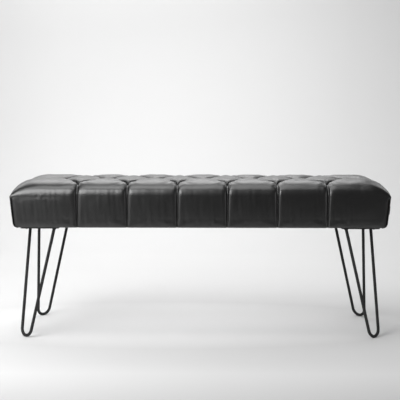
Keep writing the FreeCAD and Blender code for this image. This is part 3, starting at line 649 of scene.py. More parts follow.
@dataclass(frozen=True)
class SeatForm:
    """The cushion before it is tufted: a crowned box with rolled edges, leaning ends and a turned hem."""

    half_length: float = 0.6115
    half_depth: float = 0.209
    base_depth: float = 0.2035
    edge: float = 0.460
    crest: float = 0.5143
    underside: float = 0.3606
    end_roll: float = 0.081
    flank_power: float = 4.7
    flank_root: float = 0.4
    end_swell: float = 0.002
    swell_power: int = 4
    swell_fade: float = 0.6
    end_lean: float = 0.1
    end_round: float = 0.012
    flank_swell: float = 0.0012
    hem_round: float = 0.003
    hem_width: float = 0.048
    hem_bead: float = 0.0013
    bead_width: float = 2.5
    hem_turns: int = 4
    corner_power: int = 8
    dish: float = 0.004
    dish_width: float = 0.125
    crowding: float = 1.6
    crowd_reach: float = 0.012
    dense: int = 6001

    def rise(self, along: Array, across: Array) -> Array:
        """Share of the crown: an ellipse quarter towards the ends times a flattened curve across."""
        roll = share_left((1.0 - np.abs(along)) * self.half_length, self.end_roll)
        return np.sqrt(1.0 - roll**2) * (1.0 - np.abs(across) ** self.flank_power) ** self.flank_root

    def surface(self, along: Array, across: Array, drop: Array, inset: Array) -> Array:
        """Points of the cushion.

        The plan is a rectangle whose corners are drawn in by the lean and the inset, with swollen ends; the
        height is the edge less the drop, plus the crown, which is nothing on the sides. The ends are
        rounded under by a quarter circle, and the crown is dished along the middle.

        Args:
            along: place along the seat, -1 to 1.
            across: place across the seat, -1 to 1.
            drop: distance down a side from the edge.
            inset: distance inwards under the seat.

        Returns:
            The points, in the shape of the arguments.
        """
        fall = self.edge - self.underside
        share = drop / fall
        turned = np.clip((drop - fall) / self.end_round + 1.0, 0.0, 1.0)
        tuck = self.end_round * (1.0 - np.sqrt(1.0 - turned**2))
        at_end = np.sign(along) * np.abs(along) ** self.corner_power
        at_side = np.sign(across) * np.abs(across) ** self.corner_power
        swell = self.end_swell * (1.0 - across**self.swell_power) * (1.0 - self.swell_fade * share)
        x = along * self.half_length + at_end * (swell - self.end_lean * drop - tuck - inset)
        draw = (self.half_depth - self.base_depth) * share - self.flank_swell * np.sin(np.pi * share)
        y = across * self.half_depth - at_side * (draw + inset)
        dish = self.dish * np.clip(1.0 - (across * self.half_depth / self.dish_width) ** 2, 0.0, 1.0) ** 2
        z = self.edge - drop + (self.crest - self.edge - dish) * self.rise(along, across)
        return np.stack(np.broadcast_arrays(x, y, z), axis=-1)

    def even_places(self, lengthwise: bool, count: int, crowd: Array) -> Array:
        """Places from -1 to 1, evenly spaced along the crown's curve but closer near the crowded ones."""
        dense = np.sin(np.linspace(-np.pi / 2.0, np.pi / 2.0, self.dense))
        rise = self.rise(dense, np.zeros(1)) if lengthwise else self.rise(np.zeros(1), dense)
        half = self.half_length if lengthwise else self.half_depth
        step = np.hypot(np.diff(dense) * half, np.diff(rise) * (self.crest - self.edge))
        away = np.abs(dense[:-1, None] * half - crowd).min(1, initial=1.0)
        step = step * (1.0 + self.crowding * bell(away, self.crowd_reach))
        run = np.concatenate([[0.0], np.cumsum(step)])
        places = np.interp(np.linspace(0.0, run[-1], count), run, dense)
        places[[0, -1]] = (-1.0, 1.0)
        return places

    def descent(self, rows: int, hem_rows: int) -> tuple[Array, Array]:
        """Drop and inset down a side.

        It falls straight. With a hem, a beaded quarter round and a strip inwards follow.
        """
        fall = self.edge - self.underside
        drop = np.linspace(0.0, fall - self.hem_round, rows)
        if not hem_rows:
            return drop, np.zeros(rows)
        turn = np.linspace(0.0, np.pi / 2.0, self.hem_turns + 1)[1:]
        strip = np.geomspace(self.hem_round, self.hem_width, hem_rows + 1)[1:]
        drops = [drop, fall - self.hem_round + self.hem_round * np.sin(turn), np.full(hem_rows, fall)]
        inset = np.concatenate([np.zeros(rows), self.hem_round * (1.0 - np.cos(turn)), strip])
        share = np.clip(inset / (self.bead_width * self.hem_round), 0.0, 1.0)
        return np.concatenate(drops) + self.hem_bead * np.sin(np.pi * share), inset

    def shell(self, columns: int, ranks: int, rows: int, hem_rows: int, crowd: tuple[Array, Array]) -> Shell:
        """Cover the cushion with five grids, welded where they share a place.

        Args:
            columns: points along the seat.
            ranks: points across it.
            rows: points down a side.
            hem_rows: points across the turned hem, or none to leave it off.
            crowd: places along and across the seat where the grid lines crowd together.

        Returns:
            The welded grids: top, front, rear, left and right.
        """
        along = self.even_places(True, columns, crowd[0])[:, None]
        across = self.even_places(False, ranks, crowd[1])[:, None]
        drop, inset = (values[None, :] for values in self.descent(rows, hem_rows))
        grids = [
            (along, across.T, 0.0, 0.0, False),
            (along, -1.0, drop, inset, True),
            (along, 1.0, drop, inset, False),
            (-1.0, across, drop, inset, False),
            (1.0, across, drop, inset, True),
        ]
        keys = [np.stack(np.broadcast_arrays(*grid[:4]), axis=-1).astype(float) for grid in grids]
        stacked = np.concatenate([key.reshape(-1, 4) for key in keys])
        unique, inverse = np.unique(stacked, axis=0, return_inverse=True)
        cuts = np.cumsum([key[..., 0].size for key in keys])[:-1]
        places = [part.reshape(key.shape[:2]) for part, key in zip(np.split(inverse.ravel(), cuts), keys)]
        quads = np.concatenate([grid_quads(place, grid[4]) for place, grid in zip(places, grids)])
        xi, eta, down, under = unique.T
        at_side = np.abs(eta) == 1.0
        run = down + under
        p = xi * self.half_length + np.where(~at_side, np.sign(xi) * run, 0.0)
        q = eta * self.half_depth + np.where(at_side, np.sign(eta) * run, 0.0)
        return Shell(self.surface(xi, eta, down, under), quads, xi, eta, p, q, down, under, places)


def spreading(count: int, finer: int) -> Array:
    """Weights that carry values from a grid line to one with finer steps, by a curve through four values.

    Args:
        count: values on the coarse line.
        finer: fine steps in one coarse step.

    Returns:
        One row of weights for each fine place.
    """
    place = np.arange((count - 1) * finer + 1) / finer
    first = np.minimum(place.astype(int), count - 2)
    t = place - first
    curve = (
        (-1, -0.5 * t + t**2 - 0.5 * t**3),
        (0, 1.0 - 2.5 * t**2 + 1.5 * t**3),
        (1, 0.5 * t + 2.0 * t**2 - 1.5 * t**3),
        (2, -0.5 * t**2 + 0.5 * t**3),
    )
    weights = np.zeros((len(place), count))
    for step, weight in curve:
        np.add.at(weights, (np.arange(len(place)), np.clip(first + step, 0, count - 1)), weight)
    return weights


@dataclass(frozen=True)
class Swelling:
    """How the padding presses the leather out: the settings of a cloth simulation."""

    steps: int = 20
    quality: int = 6
    mass: float = 0.4
    stiffness: float = 15.0
    shear: float = 7.5
    bending: float = 0.75
    stretch: float = 0.002
    pressure: float = 4.0

    def run(self, start: Array, quads: Array, hold: Array) -> Array:
        """Simulate a cover.

        Args:
            start: its points before the padding presses.
            quads: its faces.
            hold: how firmly each point is held, from 0 to 1.

        Returns:
            Its points after the last step.
        """
        piece = mesh_piece("swelling_cover", start, quads, bpy.data.materials.new("unfinished"))
        cloth = piece.modifiers.new("swelling", "CLOTH")
        settings = cloth.settings
        settings.quality = self.quality
        settings.mass = self.mass
        settings.tension_stiffness = self.stiffness
        settings.compression_stiffness = self.stiffness
        settings.shear_stiffness = self.shear
        settings.bending_stiffness = self.bending
        settings.shrink_min = -self.stretch
        settings.use_pressure = True
        settings.uniform_pressure_force = self.pressure
        settings.effector_weights.gravity = 0.0
        settings.vertex_group_mass = weighted_group(piece, "held", hold)
        cloth.collision_settings.use_collision = False
        scene = bpy.context.scene
        for step in range(1, self.steps + 1):
            scene.frame_set(step)
        swollen = piece.evaluated_get(bpy.context.evaluated_depsgraph_get())
        flat = np.empty(start.size)
        swollen.data.vertices.foreach_get("co", flat)
        scene.frame_set(1)
        mesh = piece.data
        bpy.data.objects.remove(piece)
        bpy.data.meshes.remove(mesh)
        return flat.reshape(-1, 3)


@dataclass
class TuftedCushion:
    """The tufted surface that leather and batting share: wells, hollows, pleats and slack.

    The places along a pleat's run are lengths from the middle of the seat, across it or along it.
    """

    form: SeatForm = SeatForm()
    tufting: Tufting = Tufting()
    swelling: Swelling = Swelling()
    diagonal: PleatRun = PleatRun((0.0,), (0.0100,), (0.060,), (0.0115,), (0.0125,), 4.0)
    side: PleatRun = PleatRun(
        (0.145, 0.160, 0.172, 0.190, 0.209, 0.235, 0.300),
        (0.0150, 0.0080, 0.0056, 0.0042, 0.0030, 0.0016, 0.0006),
        (0.068, 0.054, 0.046, 0.040, 0.034, 0.028, 0.020),
        (0.0060, 0.0042, 0.0046, 0.0050, 0.0054, 0.0054, 0.0050),
        (0.017, 0.0130, 0.0110, 0.0096, 0.0090, 0.0086, 0.0084),
        3.5,
    )
    end: PleatRun = PleatRun(
        (0.485, 0.530, 0.560, 0.590, 0.610, 0.635, 0.700),
        (0.0100, 0.0055, 0.0042, 0.0034, 0.0026, 0.0016, 0.0008),
        (0.068, 0.060, 0.052, 0.044, 0.036, 0.028, 0.020),
        (0.0115, 0.0120, 0.0105, 0.0080, 0.0062, 0.0052, 0.0046),
        (0.0125, 0.0110, 0.0105, 0.0100, 0.0095, 0.009, 0.0085),
        5.5,
    )
    button_floor: float = 0.474
    well_floor: float = 0.0104
    well_mouth: float = 0.0138
    funnel_depth: float = 0.0190
    funnel_reach: float = 0.060
    funnel_power: float = 1.3
    funnel_margin: float = 0.005
    funnel_fade: float = 0.02
    merge_power: float = 6.0
    seam_inset: float = 0.0046
    leather: float = 0.002
    slack: float = 0.0025
    slack_fade: float = 0.025
    pleat_hold: float = 0.006
    corner_hold: float = 0.010
    corner_grip: float = 0.7
    rest_ease: float = 0.0006
    most_move: float = 0.004
    cap_power: int = 4
    corner_share: float = 0.5
    columns: int = 141
    ranks: int = 53
    rows: int = 11
    coarse: Shell = field(init=False)
    move: Array = field(init=False)

    def __post_init__(self) -> None:
        """Lay out the coarse cover and let the padding press it out."""
        self.coarse = self.cover_shell(1)
        self.move = self.swell(self.coarse)

    def cover_shell(self, finer: int, hem_rows: int = 0, below: float = 0.0) -> Shell:
        """Lay out the cover's grids, with lines crowded along the pleats.

        Args:
            finer: fine steps in each coarse step.
            hem_rows: points across the turned hem.
            below: distance inside the leather's outer face.

        Returns:
            The grids.
        """
        counts = [(count - 1) * finer + 1 for count in (self.columns, self.ranks, self.rows)]
        seams = self.form.half_length - self.seam_inset
        along = np.concatenate([[-seams], self.tufting.outer(), [seams]])
        across = np.array([-self.tufting.row, 0.0, self.tufting.row])
        form = replace(
            self.form,
            half_length=self.form.half_length - below,
            half_depth=self.form.half_depth - below,
            base_depth=self.form.base_depth - below,
            edge=self.form.edge - below,
            crest=self.form.crest - below,
            underside=self.form.underside + below,
        )
        return form.shell(*counts, hem_rows, (along, across))

    def runs(self, shell: Shell) -> list[tuple[PleatRun, Array, Array]]:
        """The three kinds of pleat, each with the points' places along its run and distances to it."""
        p, q = shell.p, shell.q
        return [
            (self.diagonal, np.abs(q), self.tufting.to_diagonals(p, q)),
            (self.side, np.abs(q), self.tufting.to_side_pleats(p, q)),
            (self.end, np.abs(p), self.tufting.to_end_pleats(p, q)),
        ]

    def depth(self, shell: Shell, below: float = 0.0) -> Array:
        """How far the cover is drawn in.

        It is a soft greatest of the funnels round the buttons and the broad hollows beside the three kinds
        of pleat. At a button it goes over to whatever reaches the button's floor, or a little below it.
        """
        distance, _, _ = self.tufting.to_buttons(shell.p, shell.q)
        past_row = np.abs(shell.q) - self.tufting.row + self.funnel_margin
        inside = smooth_step(1.0 - past_row / self.funnel_fade)
        funnel = self.funnel_depth * share_left(distance, self.funnel_reach) ** self.funnel_power * inside
        kinds = np.stack([funnel, *(pleat.hollow(run, away) for pleat, run, away in self.runs(shell))])
        hollow = (kinds**self.merge_power).sum(0) ** (1.0 / self.merge_power)
        return hollow + self.wells(shell) * (shell.points[:, 2] - self.button_floor + below - hollow)

    def wells(self, shell: Shell) -> Array:
        """Share of a button's well: 1 on its floor, 0 beyond its mouth."""
        distance, _, _ = self.tufting.to_buttons(shell.p, shell.q)
        return smooth_step((self.well_mouth - distance) / (self.well_mouth - self.well_floor))

    def furrows(self, shell: Shell, wider: float = 1.0) -> Array:
        """Depth of the creases along the pleats: the greatest of the three kinds, and none in the wells."""
        kinds = [pleat.furrow(run, away, wider) for pleat, run, away in self.runs(shell)]
        return np.maximum.reduce(kinds) * (1.0 - self.wells(shell))

    def to_pleats(self, shell: Shell) -> Array:
        """Distance to the nearest pleat of any kind."""
        return np.minimum.reduce([away for _, _, away in self.runs(shell)])

    def to_corners(self, shell: Shell) -> Array:
        """Distance along the cover to the nearest of the four upright corners."""
        from_end = (1.0 - np.abs(shell.along)) * self.form.half_length
        from_side = (1.0 - np.abs(shell.across)) * self.form.half_depth
        return np.hypot(from_end, from_side)

    def loose(self, shell: Shell) -> Array:
        """How far inside its place the cover starts: the slack, fading out at the hem and the corners."""
        hem = self.form.edge - self.form.underside - self.form.hem_round
        off_hem = smooth_step((hem - shell.drop) / self.slack_fade)
        return self.slack * off_hem * smooth_step(self.to_corners(shell) / self.slack_fade)

    def swell(self, shell: Shell) -> Array:
        """Simulate the leather, held at its pleats, hem and corners, as the padding presses it out.

        Args:
            shell: the coarse cover.

        Returns:
            How far each point moves: at least up to the padding, and at most as far as is allowed.
        """
        loose = self.loose(shell)
        start = shell.points - shell.normals(shell.points) * (self.depth(shell) + loose)[:, None]
        outward = shell.normals(start)
        hold = bell(self.to_pleats(shell), self.pleat_hold)
        hold = np.maximum(hold, self.corner_grip * bell(self.to_corners(shell), self.corner_hold))
        hold = np.maximum(hold, shell.drop >= shell.drop.max() - ROUNDING)
        rise = ((self.swelling.run(start, shell.quads, hold) - start) * outward).sum(1)
        log.info("swelling: least %.4f, mean %.4f, most %.4f", rise.min(), rise.mean(), rise.max())
        padding = loose * (1.0 - hold)
        rise = (rise + padding + np.hypot(rise - padding, self.rest_ease)) / 2.0
        held_back = rise / (1.0 + (rise / self.most_move) ** self.cap_power) ** (1.0 / self.cap_power)
        return outward * held_back[:, None]

    def settled(self, shell: Shell, finer: int, ease: float, rounds: int, below: float = 0.0) -> Array:
        """Points of the filled cover, before its creases.

        The coarse cover's movement is spread over the finer grids, and the upright corners are eased.

        Args:
            shell: the finer cover.
            finer: fine steps in each coarse step.
            ease: how far from a corner it is eased.
            rounds: how often it is eased.
            below: distance inside the leather's outer face.

        Returns:
            The points.
        """
        outward = shell.normals(shell.points)
        start = shell.points - outward * (self.depth(shell, below) + self.loose(shell))[:, None]
        spread = np.zeros_like(start)
        for rough, fine in zip(self.coarse.places, shell.places):
            first = spreading(rough.shape[0], finer)
            second = spreading(rough.shape[1], finer)
            part = np.einsum("ai,bj,ijk->abk", first, second, self.move[rough], optimize=True)
            spread[fine[: part.shape[0], : part.shape[1]]] = part
        softening = self.corner_share * bell(self.to_corners(shell), ease)
        return shell.relaxed(start + spread, softening, rounds)


# Soft pieces of the cushion

@dataclass(frozen=True)
class Wrinkles:
    """Small folds of the leather: rays round the buttons, puckers along the pleats, slack and hang."""

    ray_sets: tuple[Triple, ...] = ((11.0, 2.4, 1.0), (7.0, 1.1, 0.6))
    ray_height: float = 0.00050
    ray_reach: float = 0.024
    pucker_height: float = 0.00035
    pucker_reach: float = 0.015
    puckers: Ripples = Ripples(11, 0.009, 0.022)
    slack_height: float = 0.00035
    slack: Ripples = Ripples(23, 0.050, 0.130)
    hang_height: float = 0.00009
    hang: Ripples = Ripples(37, 0.014, 0.045, 5.0)
    flank_start: float = 0.185
    flank_fade: float = 0.03
    flank_calm: float = 0.75

    def height(self, cushion: TuftedCushion, shell: Shell) -> Array:
        """Height of the folds at each point of a cover, outwards.

        A set of rays has their count, the turn from one button's rays to the next one's, and its share. The
        flanks are calmer than the top, and hang in long upright ripples.
        """
        p, q = shell.p, shell.q
        distance, angle, number = cushion.tufting.to_buttons(p, q)
        rays = sum(share * np.cos(count * angle + turn * number) for count, turn, share in self.ray_sets)
        reach = distance / self.ray_reach
        rays = self.ray_height * rays * reach**2 * np.exp(2.0 - 2.0 * reach)
        flank = smooth_step((np.abs(q) - self.flank_start) / self.flank_fade)
        puckers = self.pucker_height * self.puckers(p, q) * bell(cushion.to_pleats(shell), self.pucker_reach)
        slack = self.slack_height * self.slack(p, q)
        hang = self.hang_height * self.hang(p, q) * flank
        return rays + (puckers + slack) * (1.0 - self.flank_calm * flank) + hang


@dataclass(frozen=True)
class LeatherCover:
    """The leather, with creased pleats, stitched corners and a hem turned under the frame."""

    finer: int = 4
    hem_rows: int = 9
    hem_fade: float = 0.004
    corner_ease: float = 0.006
    corner_rounds: int = 2
    seam_width: float = 0.0031
    seam_depth: float = 0.0050
    seam_start: float = 0.012
    fold_depth: float = 0.012
    wrinkles: Wrinkles = Wrinkles()

    def build(self, cushion: TuftedCushion, leather: Material) -> None:
        """Make the cover, open underneath inside its hem."""
        shell = cushion.cover_shell(self.finer, self.hem_rows)
        corner = cushion.to_corners(shell)
        points = cushion.settled(shell, self.finer, self.corner_ease, self.corner_rounds)
        on_side = smooth_step(1.0 - shell.inset / self.hem_fade)
        on_front = (np.abs(shell.across) == 1.0) * smooth_step(shell.drop / self.seam_start) * on_side
        seam = self.seam_depth * share_left(np.abs(corner - cushion.seam_inset), self.seam_width)
        furrows = cushion.furrows(shell)
        relief = (self.wrinkles.height(cushion, shell) - furrows) * on_side
        points = points + shell.normals(points) * relief[:, None]
        points[:, 1] -= np.sign(shell.across) * seam * on_front
        piece = mesh_piece("tufted_leather", points, shell.quads, leather)
        # The crown keeps the folds darker as painted shade in the leather's finish
        note_crown(piece, share_left(cushion.depth(shell) + furrows, self.fold_depth))
        thicken(piece, cushion.leather)
        enrol(piece, "leather", "leather_cover")


@dataclass(frozen=True)
class Batting:
    """Wadding that follows the leather's inside, thick under the puffs and pressed thin at the pleats."""

    finer: int = 2
    gap: float = 0.0032
    thickness: float = 0.009
    thinnest: float = 0.08
    loft_depth: float = 0.016
    least_loft: float = 0.1
    crease: float = 1.25
    crease_width: float = 1.4
    ripple: float = 0.0003
    ripples: Ripples = Ripples(5, 0.03, 0.07)
    corner_ease: float = 0.012
    corner_rounds: int = 3
    corner_tuck: float = 0.007
    corner_reach: float = 0.016
    fleece: FibreFinish = FibreFinish(
        "polyester_batting", (0.84, 0.84, 0.82), (0.74, 0.74, 0.72), 0.002, 0.002,
    )

    def build(self, cushion: TuftedCushion) -> None:
        """Make the batting, tucked in at the upright corners."""
        below = cushion.leather + self.gap
        shell = cushion.cover_shell(self.finer, 0, below)
        corner = cushion.to_corners(shell)
        points = cushion.settled(shell, self.finer, self.corner_ease, self.corner_rounds, below)
        crease = self.crease * cushion.furrows(shell, self.crease_width)
        crease = crease + self.ripple * (1.0 + self.ripples(shell.p, shell.q))
        points = points - shell.normals(points) * crease[:, None]
        tuck = self.corner_tuck * bell(corner, self.corner_reach)
        points[:, 0] -= np.sign(shell.along) * tuck
        points[:, 1] -= np.sign(shell.across) * tuck
        piece = mesh_piece("batting", points, shell.quads, self.fleece.make())
        loft = np.maximum(share_left(cushion.depth(shell), self.loft_depth), self.least_loft)
        wall = thicken(piece, self.thickness)
        wall.vertex_group = weighted_group(piece, "loft", loft)
        wall.thickness_vertex_group = self.thinnest
        enrol(piece, "batting", "batting_wrap")


@dataclass(frozen=True)
class FoamBlock:
    """The foam: a slab with rounded top edges and a dimple under each button."""

    top_round: float = 0.024
    end_round: float = 0.001
    base_round: float = 0.0015
    base_width: float = 0.150
    flank_power: float = 12.0
    dimple_depth: float = 0.0185
    dimple_reach: float = 0.024
    columns: int = 149
    ranks: int = 51
    rows: int = 9
    base_rows: int = 8
    foam: FibreFinish = FibreFinish("seat_foam", (0.80, 0.72, 0.48), (0.70, 0.62, 0.40), 0.0012, 0.0006)

    def build(self, tufting: Tufting) -> None:
        """Make the foam in the space of its solid."""
        low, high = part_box("foam_pad")
        slab = SeatForm(
            half_length=high.x,
            half_depth=high.y,
            base_depth=high.y,
            edge=high.z - self.top_round,
            crest=high.z,
            underside=low.z,
            end_roll=self.top_round,
            flank_power=self.flank_power,
            end_swell=0.0,
            end_lean=0.0,
            end_round=self.end_round,
            dish=0.0,
            flank_swell=0.0,
            hem_round=self.base_round,
            hem_width=self.base_width,
        )
        nowhere = np.zeros(0)
        shell = slab.shell(self.columns, self.ranks, self.rows, self.base_rows, (nowhere, nowhere))
        distance, _, _ = tufting.to_buttons(shell.p, shell.q)
        on_top = shell.drop <= 0.0
        shell.points[:, 2] -= on_top * self.dimple_depth * bell(distance, self.dimple_reach)
        piece = mesh_piece("foam_block", shell.points, shell.quads, self.foam.make())
        enrol(piece, "foam", "foam_pad")


@dataclass(frozen=True)
class CoveredButtons:
    """Buttons under gathered leather.

    A button is a curve turned about its axis: the radius and height follow a flat back, a tight rim and a
    dome, and the leather's gathers ripple the rim.
    """

    sides: int = 40
    steps: int = 15
    back: float = 0.3
    rim_power: float = 0.7
    tip: float = 0.03
    gathers: float = 13.0
    gather_depth: float = 0.022
    gather_width: float = 0.5

    def build(self, tufting: Tufting, leather: Material) -> None:
        """Make one piece for each row of buttons."""
        turn = np.linspace(0.0, 2.0 * np.pi, self.sides + 1)[:-1, None]
        share = np.linspace(0.0, 1.0, self.steps)
        angle = np.pi * (share - 0.5)
        rim = np.cos(angle) ** self.rim_power
        rim[[0, -1]] = self.tip
        gather = self.gather_depth * (1.0 + np.cos(self.gathers * turn)) * bell(angle, self.gather_width)
        lift = self.back + np.where(angle < 0.0, self.back, 1.0 - self.back) * np.sin(angle)
        for label, (along, across) in tufting.rows().items():
            low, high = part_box(f"tuft_buttons_{label}")
            ring = (high.y - low.y) / 2.0 * rim * (1.0 - gather)
            points = np.stack(np.broadcast_arrays(
                along[:, None, None] + ring * np.cos(turn),
                across + ring * np.sin(turn),
                low.z + (high.z - low.z) * lift,
            ), axis=-1)
            faces = closed_faces(point_numbers(points))
            piece = mesh_piece(f"covered_buttons_{label}", points, faces, leather)
            # The crown rises from the button's back to its dome, so the back is painted darker as shade
            note_crown(piece, np.broadcast_to(smooth_step(share), points.shape[:-1]))
            enrol(piece, "leather", f"tuft_buttons_{label}")


# Underside

@dataclass(frozen=True)
class Underside:
    """The dust cloth stapled under the seat."""

    sag: float = 0.0022
    wrinkle: float = 0.0004
    wrinkles: Ripples = Ripples(3, 0.05, 0.16)
    free_end: float = 0.43
    free_fade: float = 0.12
    columns: int = 161
    ranks: int = 53
    cloth: FibreFinish = FibreFinish(
        "dust_cloth_black", (0.020, 0.020, 0.021), (0.034, 0.034, 0.035), 0.0009, 0.0004,
    )
    staple_crown: float = 0.010
    staple_wire: float = 0.0011
    staple_leg: float = 0.0025
    staple_bend: float = 0.8
    staple_sides: int = 6
    staple_press: float = 0.0002
    staple_spacing: float = 0.045
    staple_margin: float = 0.006

    def build_cloth(self) -> None:
        """The cloth: flat where the leg plates press it, sagging a little between them, softly wrinkled."""
        low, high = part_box("dust_cover")
        x, y = np.meshgrid(
            np.linspace(low.x, high.x, self.columns), np.linspace(low.y, high.y, self.ranks), indexing="ij",
        )
        between = smooth_step((self.free_end - np.abs(x)) / self.free_fade)
        free = between * smooth_step(1.0 - np.abs(y) / high.y)
        wrinkle = self.wrinkles(x.ravel(), y.ravel()).reshape(x.shape)
        z = (low.z + high.z) / 2.0 - free * (self.sag + self.wrinkle * wrinkle)
        points = np.stack([x, y, z], axis=-1)
        quads = grid_quads(point_numbers(points), True)
        piece = mesh_piece("dust_cloth", points, quads, self.cloth.make())
        enrol(piece, "dust_cloth", "dust_cover")

    def staple_places(self, reach: tuple[float, float]) -> Array:
        """Staples along the cloth's four edges, as rows of x, y and the angle of the staple."""
        places = []
        for axis in (0, 1):
            count = int(2.0 * reach[axis] / self.staple_spacing)
            run = np.linspace(-reach[axis], reach[axis], count + 2)[1:-1]
            for sign in (-1.0, 1.0):
                other = np.full(count, sign * reach[1 - axis])
                pair = (run, other) if axis == 0 else (other, run)
                places.append(np.column_stack([*pair, np.full(count, axis * np.pi / 2.0)]))
        return np.concatenate(places)

    def build_staples(self, wire: Material) -> None:
        """Staples: a flattened wire carried along a bridge with two short legs.

        The wire's width leans along the staple on the legs, and up on the bridge.
        """
        low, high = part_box("dust_cover")
        half, thick, leg = self.staple_crown / 2.0, self.staple_wire / 2.0, self.staple_leg
        bend = self.staple_bend * half
        bridge = np.array(
            [[-half, leg], [-half, 0.0], [-bend, -thick], [bend, -thick], [half, 0.0], [half, leg]],
        )
        turn = np.linspace(0.0, 2.0 * np.pi, self.staple_sides + 1)[:-1, None]
        width = thick / 2.0 * np.cos(turn)
        along = bridge[:, 0] + width * np.array([1.0, 1.0, 0.0, 0.0, -1.0, -1.0])
        up = bridge[:, 1] + width * np.array([0.0, 0.7, 1.0, 1.0, 0.7, 0.0])
        side = -thick * np.sin(turn)
        places = self.staple_places((high.x - self.staple_margin, high.y - self.staple_margin))
        x, y, angle = places.T[:, :, None, None]
        points = np.stack(np.broadcast_arrays(
            x + along * np.cos(angle) - side * np.sin(angle),
            y + along * np.sin(angle) + side * np.cos(angle),
            low.z - self.staple_press + up,
        ), axis=-1)
        faces = closed_faces(point_numbers(points))
        enrol(mesh_piece("dust_cloth_staples", points, faces, wire), "zinc")


# Solids that keep their shape

@dataclass(frozen=True)
class HairpinLegs:
    """Four welded hairpin legs, their plates and screws."""

    paint: PaintFinish = PaintFinish()
    black: MetalFinish = MetalFinish("black_oxide", (0.035, 0.034, 0.033), (0.06, 0.05, 0.042), 0.85, 0.38)

    def dress(self) -> None:
        """Paint rods and plates and blacken the screws."""
        paint = self.paint.make()
        black = self.black.make()
        for corner in CORNERS:
            dress(f"leg_rod_{corner}", paint)
            dress(f"leg_plate_{corner}", paint)
            dress(f"leg_screws_{corner}", black)


@dataclass(frozen=True)
class InnerFrame:
    """The timber frame and deck inside the seat, with its screws, twine and washers."""

    lengthwise: tuple[str, ...] = ("front_rail", "rear_rail")
    crosswise: tuple[str, ...] = (
        "left_end_rail", "right_end_rail", "left_cross_rail", "middle_cross_rail", "right_cross_rail",
    )
    screws: tuple[str, ...] = ("frame_screws", "deck_screws")
    long_timber: TimberFinish = TimberFinish("pine_lengthwise", Grain.LENGTHWISE)
    cross_timber: TimberFinish = TimberFinish("pine_crosswise", Grain.CROSSWISE)
    veneer: TimberFinish = TimberFinish(
        "birch_plywood", Grain.LENGTHWISE, (0.66, 0.50, 0.31), (0.50, 0.35, 0.19), 0.004,
    )
    twine: FibreFinish = FibreFinish(
        "waxed_twine", (0.30, 0.24, 0.15), (0.18, 0.14, 0.08), 0.0004, 0.0003, (1.0, 1.0, 0.35),
    )

    def dress(self, tufting: Tufting, zinc: Material) -> None:
        """Give timber, plywood, zinc and twine their finishes."""
        blocks = [f"leg_block_{corner}" for corner in CORNERS]
        twines = [f"tuft_twine_{row}" for row in tufting.rows()]
        washers = [f"twine_washers_{row}" for row in tufting.rows()]
        dressing = (
            ([*self.lengthwise, *blocks], self.long_timber.make()),
            (self.crosswise, self.cross_timber.make()),
            (["seat_deck"], self.veneer.make()),
            ([*self.screws, *washers], zinc),
            (twines, self.twine.make()),
        )
        for nodes, material in dressing:
            for node in nodes:
                dress(node, material)


# Studio

@dataclass(frozen=True)
class PhotoView:
    """The camera of the photograph, from the legs' places in it."""

    place: Triple = (0.0410, -3.7217, 0.7427)
    yaw: float = -0.01155
    pitch: float = 0.08308
    roll: float = 0.00066
    lens: float = 99.0
    sensor: float = 36.0

    def build(self) -> None:
        """Make the camera and look through it: it faces +Y, turns right by yaw and nods by pitch."""
        data = bpy.data.cameras.new("photo_view")
        data.lens = self.lens
        data.sensor_width = self.sensor
        camera = bpy.data.objects.new("photo_view", data)
        turn = Matrix.Rotation(-self.yaw, 4, "Z") @ Matrix.Rotation(math.pi / 2.0 - self.pitch, 4, "X")
        roll = Matrix.Rotation(self.roll, 4, "Z")
        camera.matrix_world = Matrix.Translation(self.place) @ turn @ roll
        bpy.context.scene.collection.objects.link(camera)
        bpy.context.scene.camera = camera


@dataclass(frozen=True)
class Lamp:
    """A soft box: where it stands, what it faces, its sides and its power."""

    name: str
    place: Triple
    aim: Triple
    size: tuple[float, float]
    watts: float

    def build(self) -> None:
        """Make the lamp."""
        data = bpy.data.lights.new(self.name, "AREA")
        data.shape = "RECTANGLE"
        data.size, data.size_y = self.size
        data.energy = self.watts
        lamp = bpy.data.objects.new(self.name, data)
        lamp.location = self.place
        lamp.rotation_euler = (Vector(self.aim) - Vector(self.place)).to_track_quat("-Z", "Y").to_euler()
        bpy.context.scene.collection.objects.link(lamp)


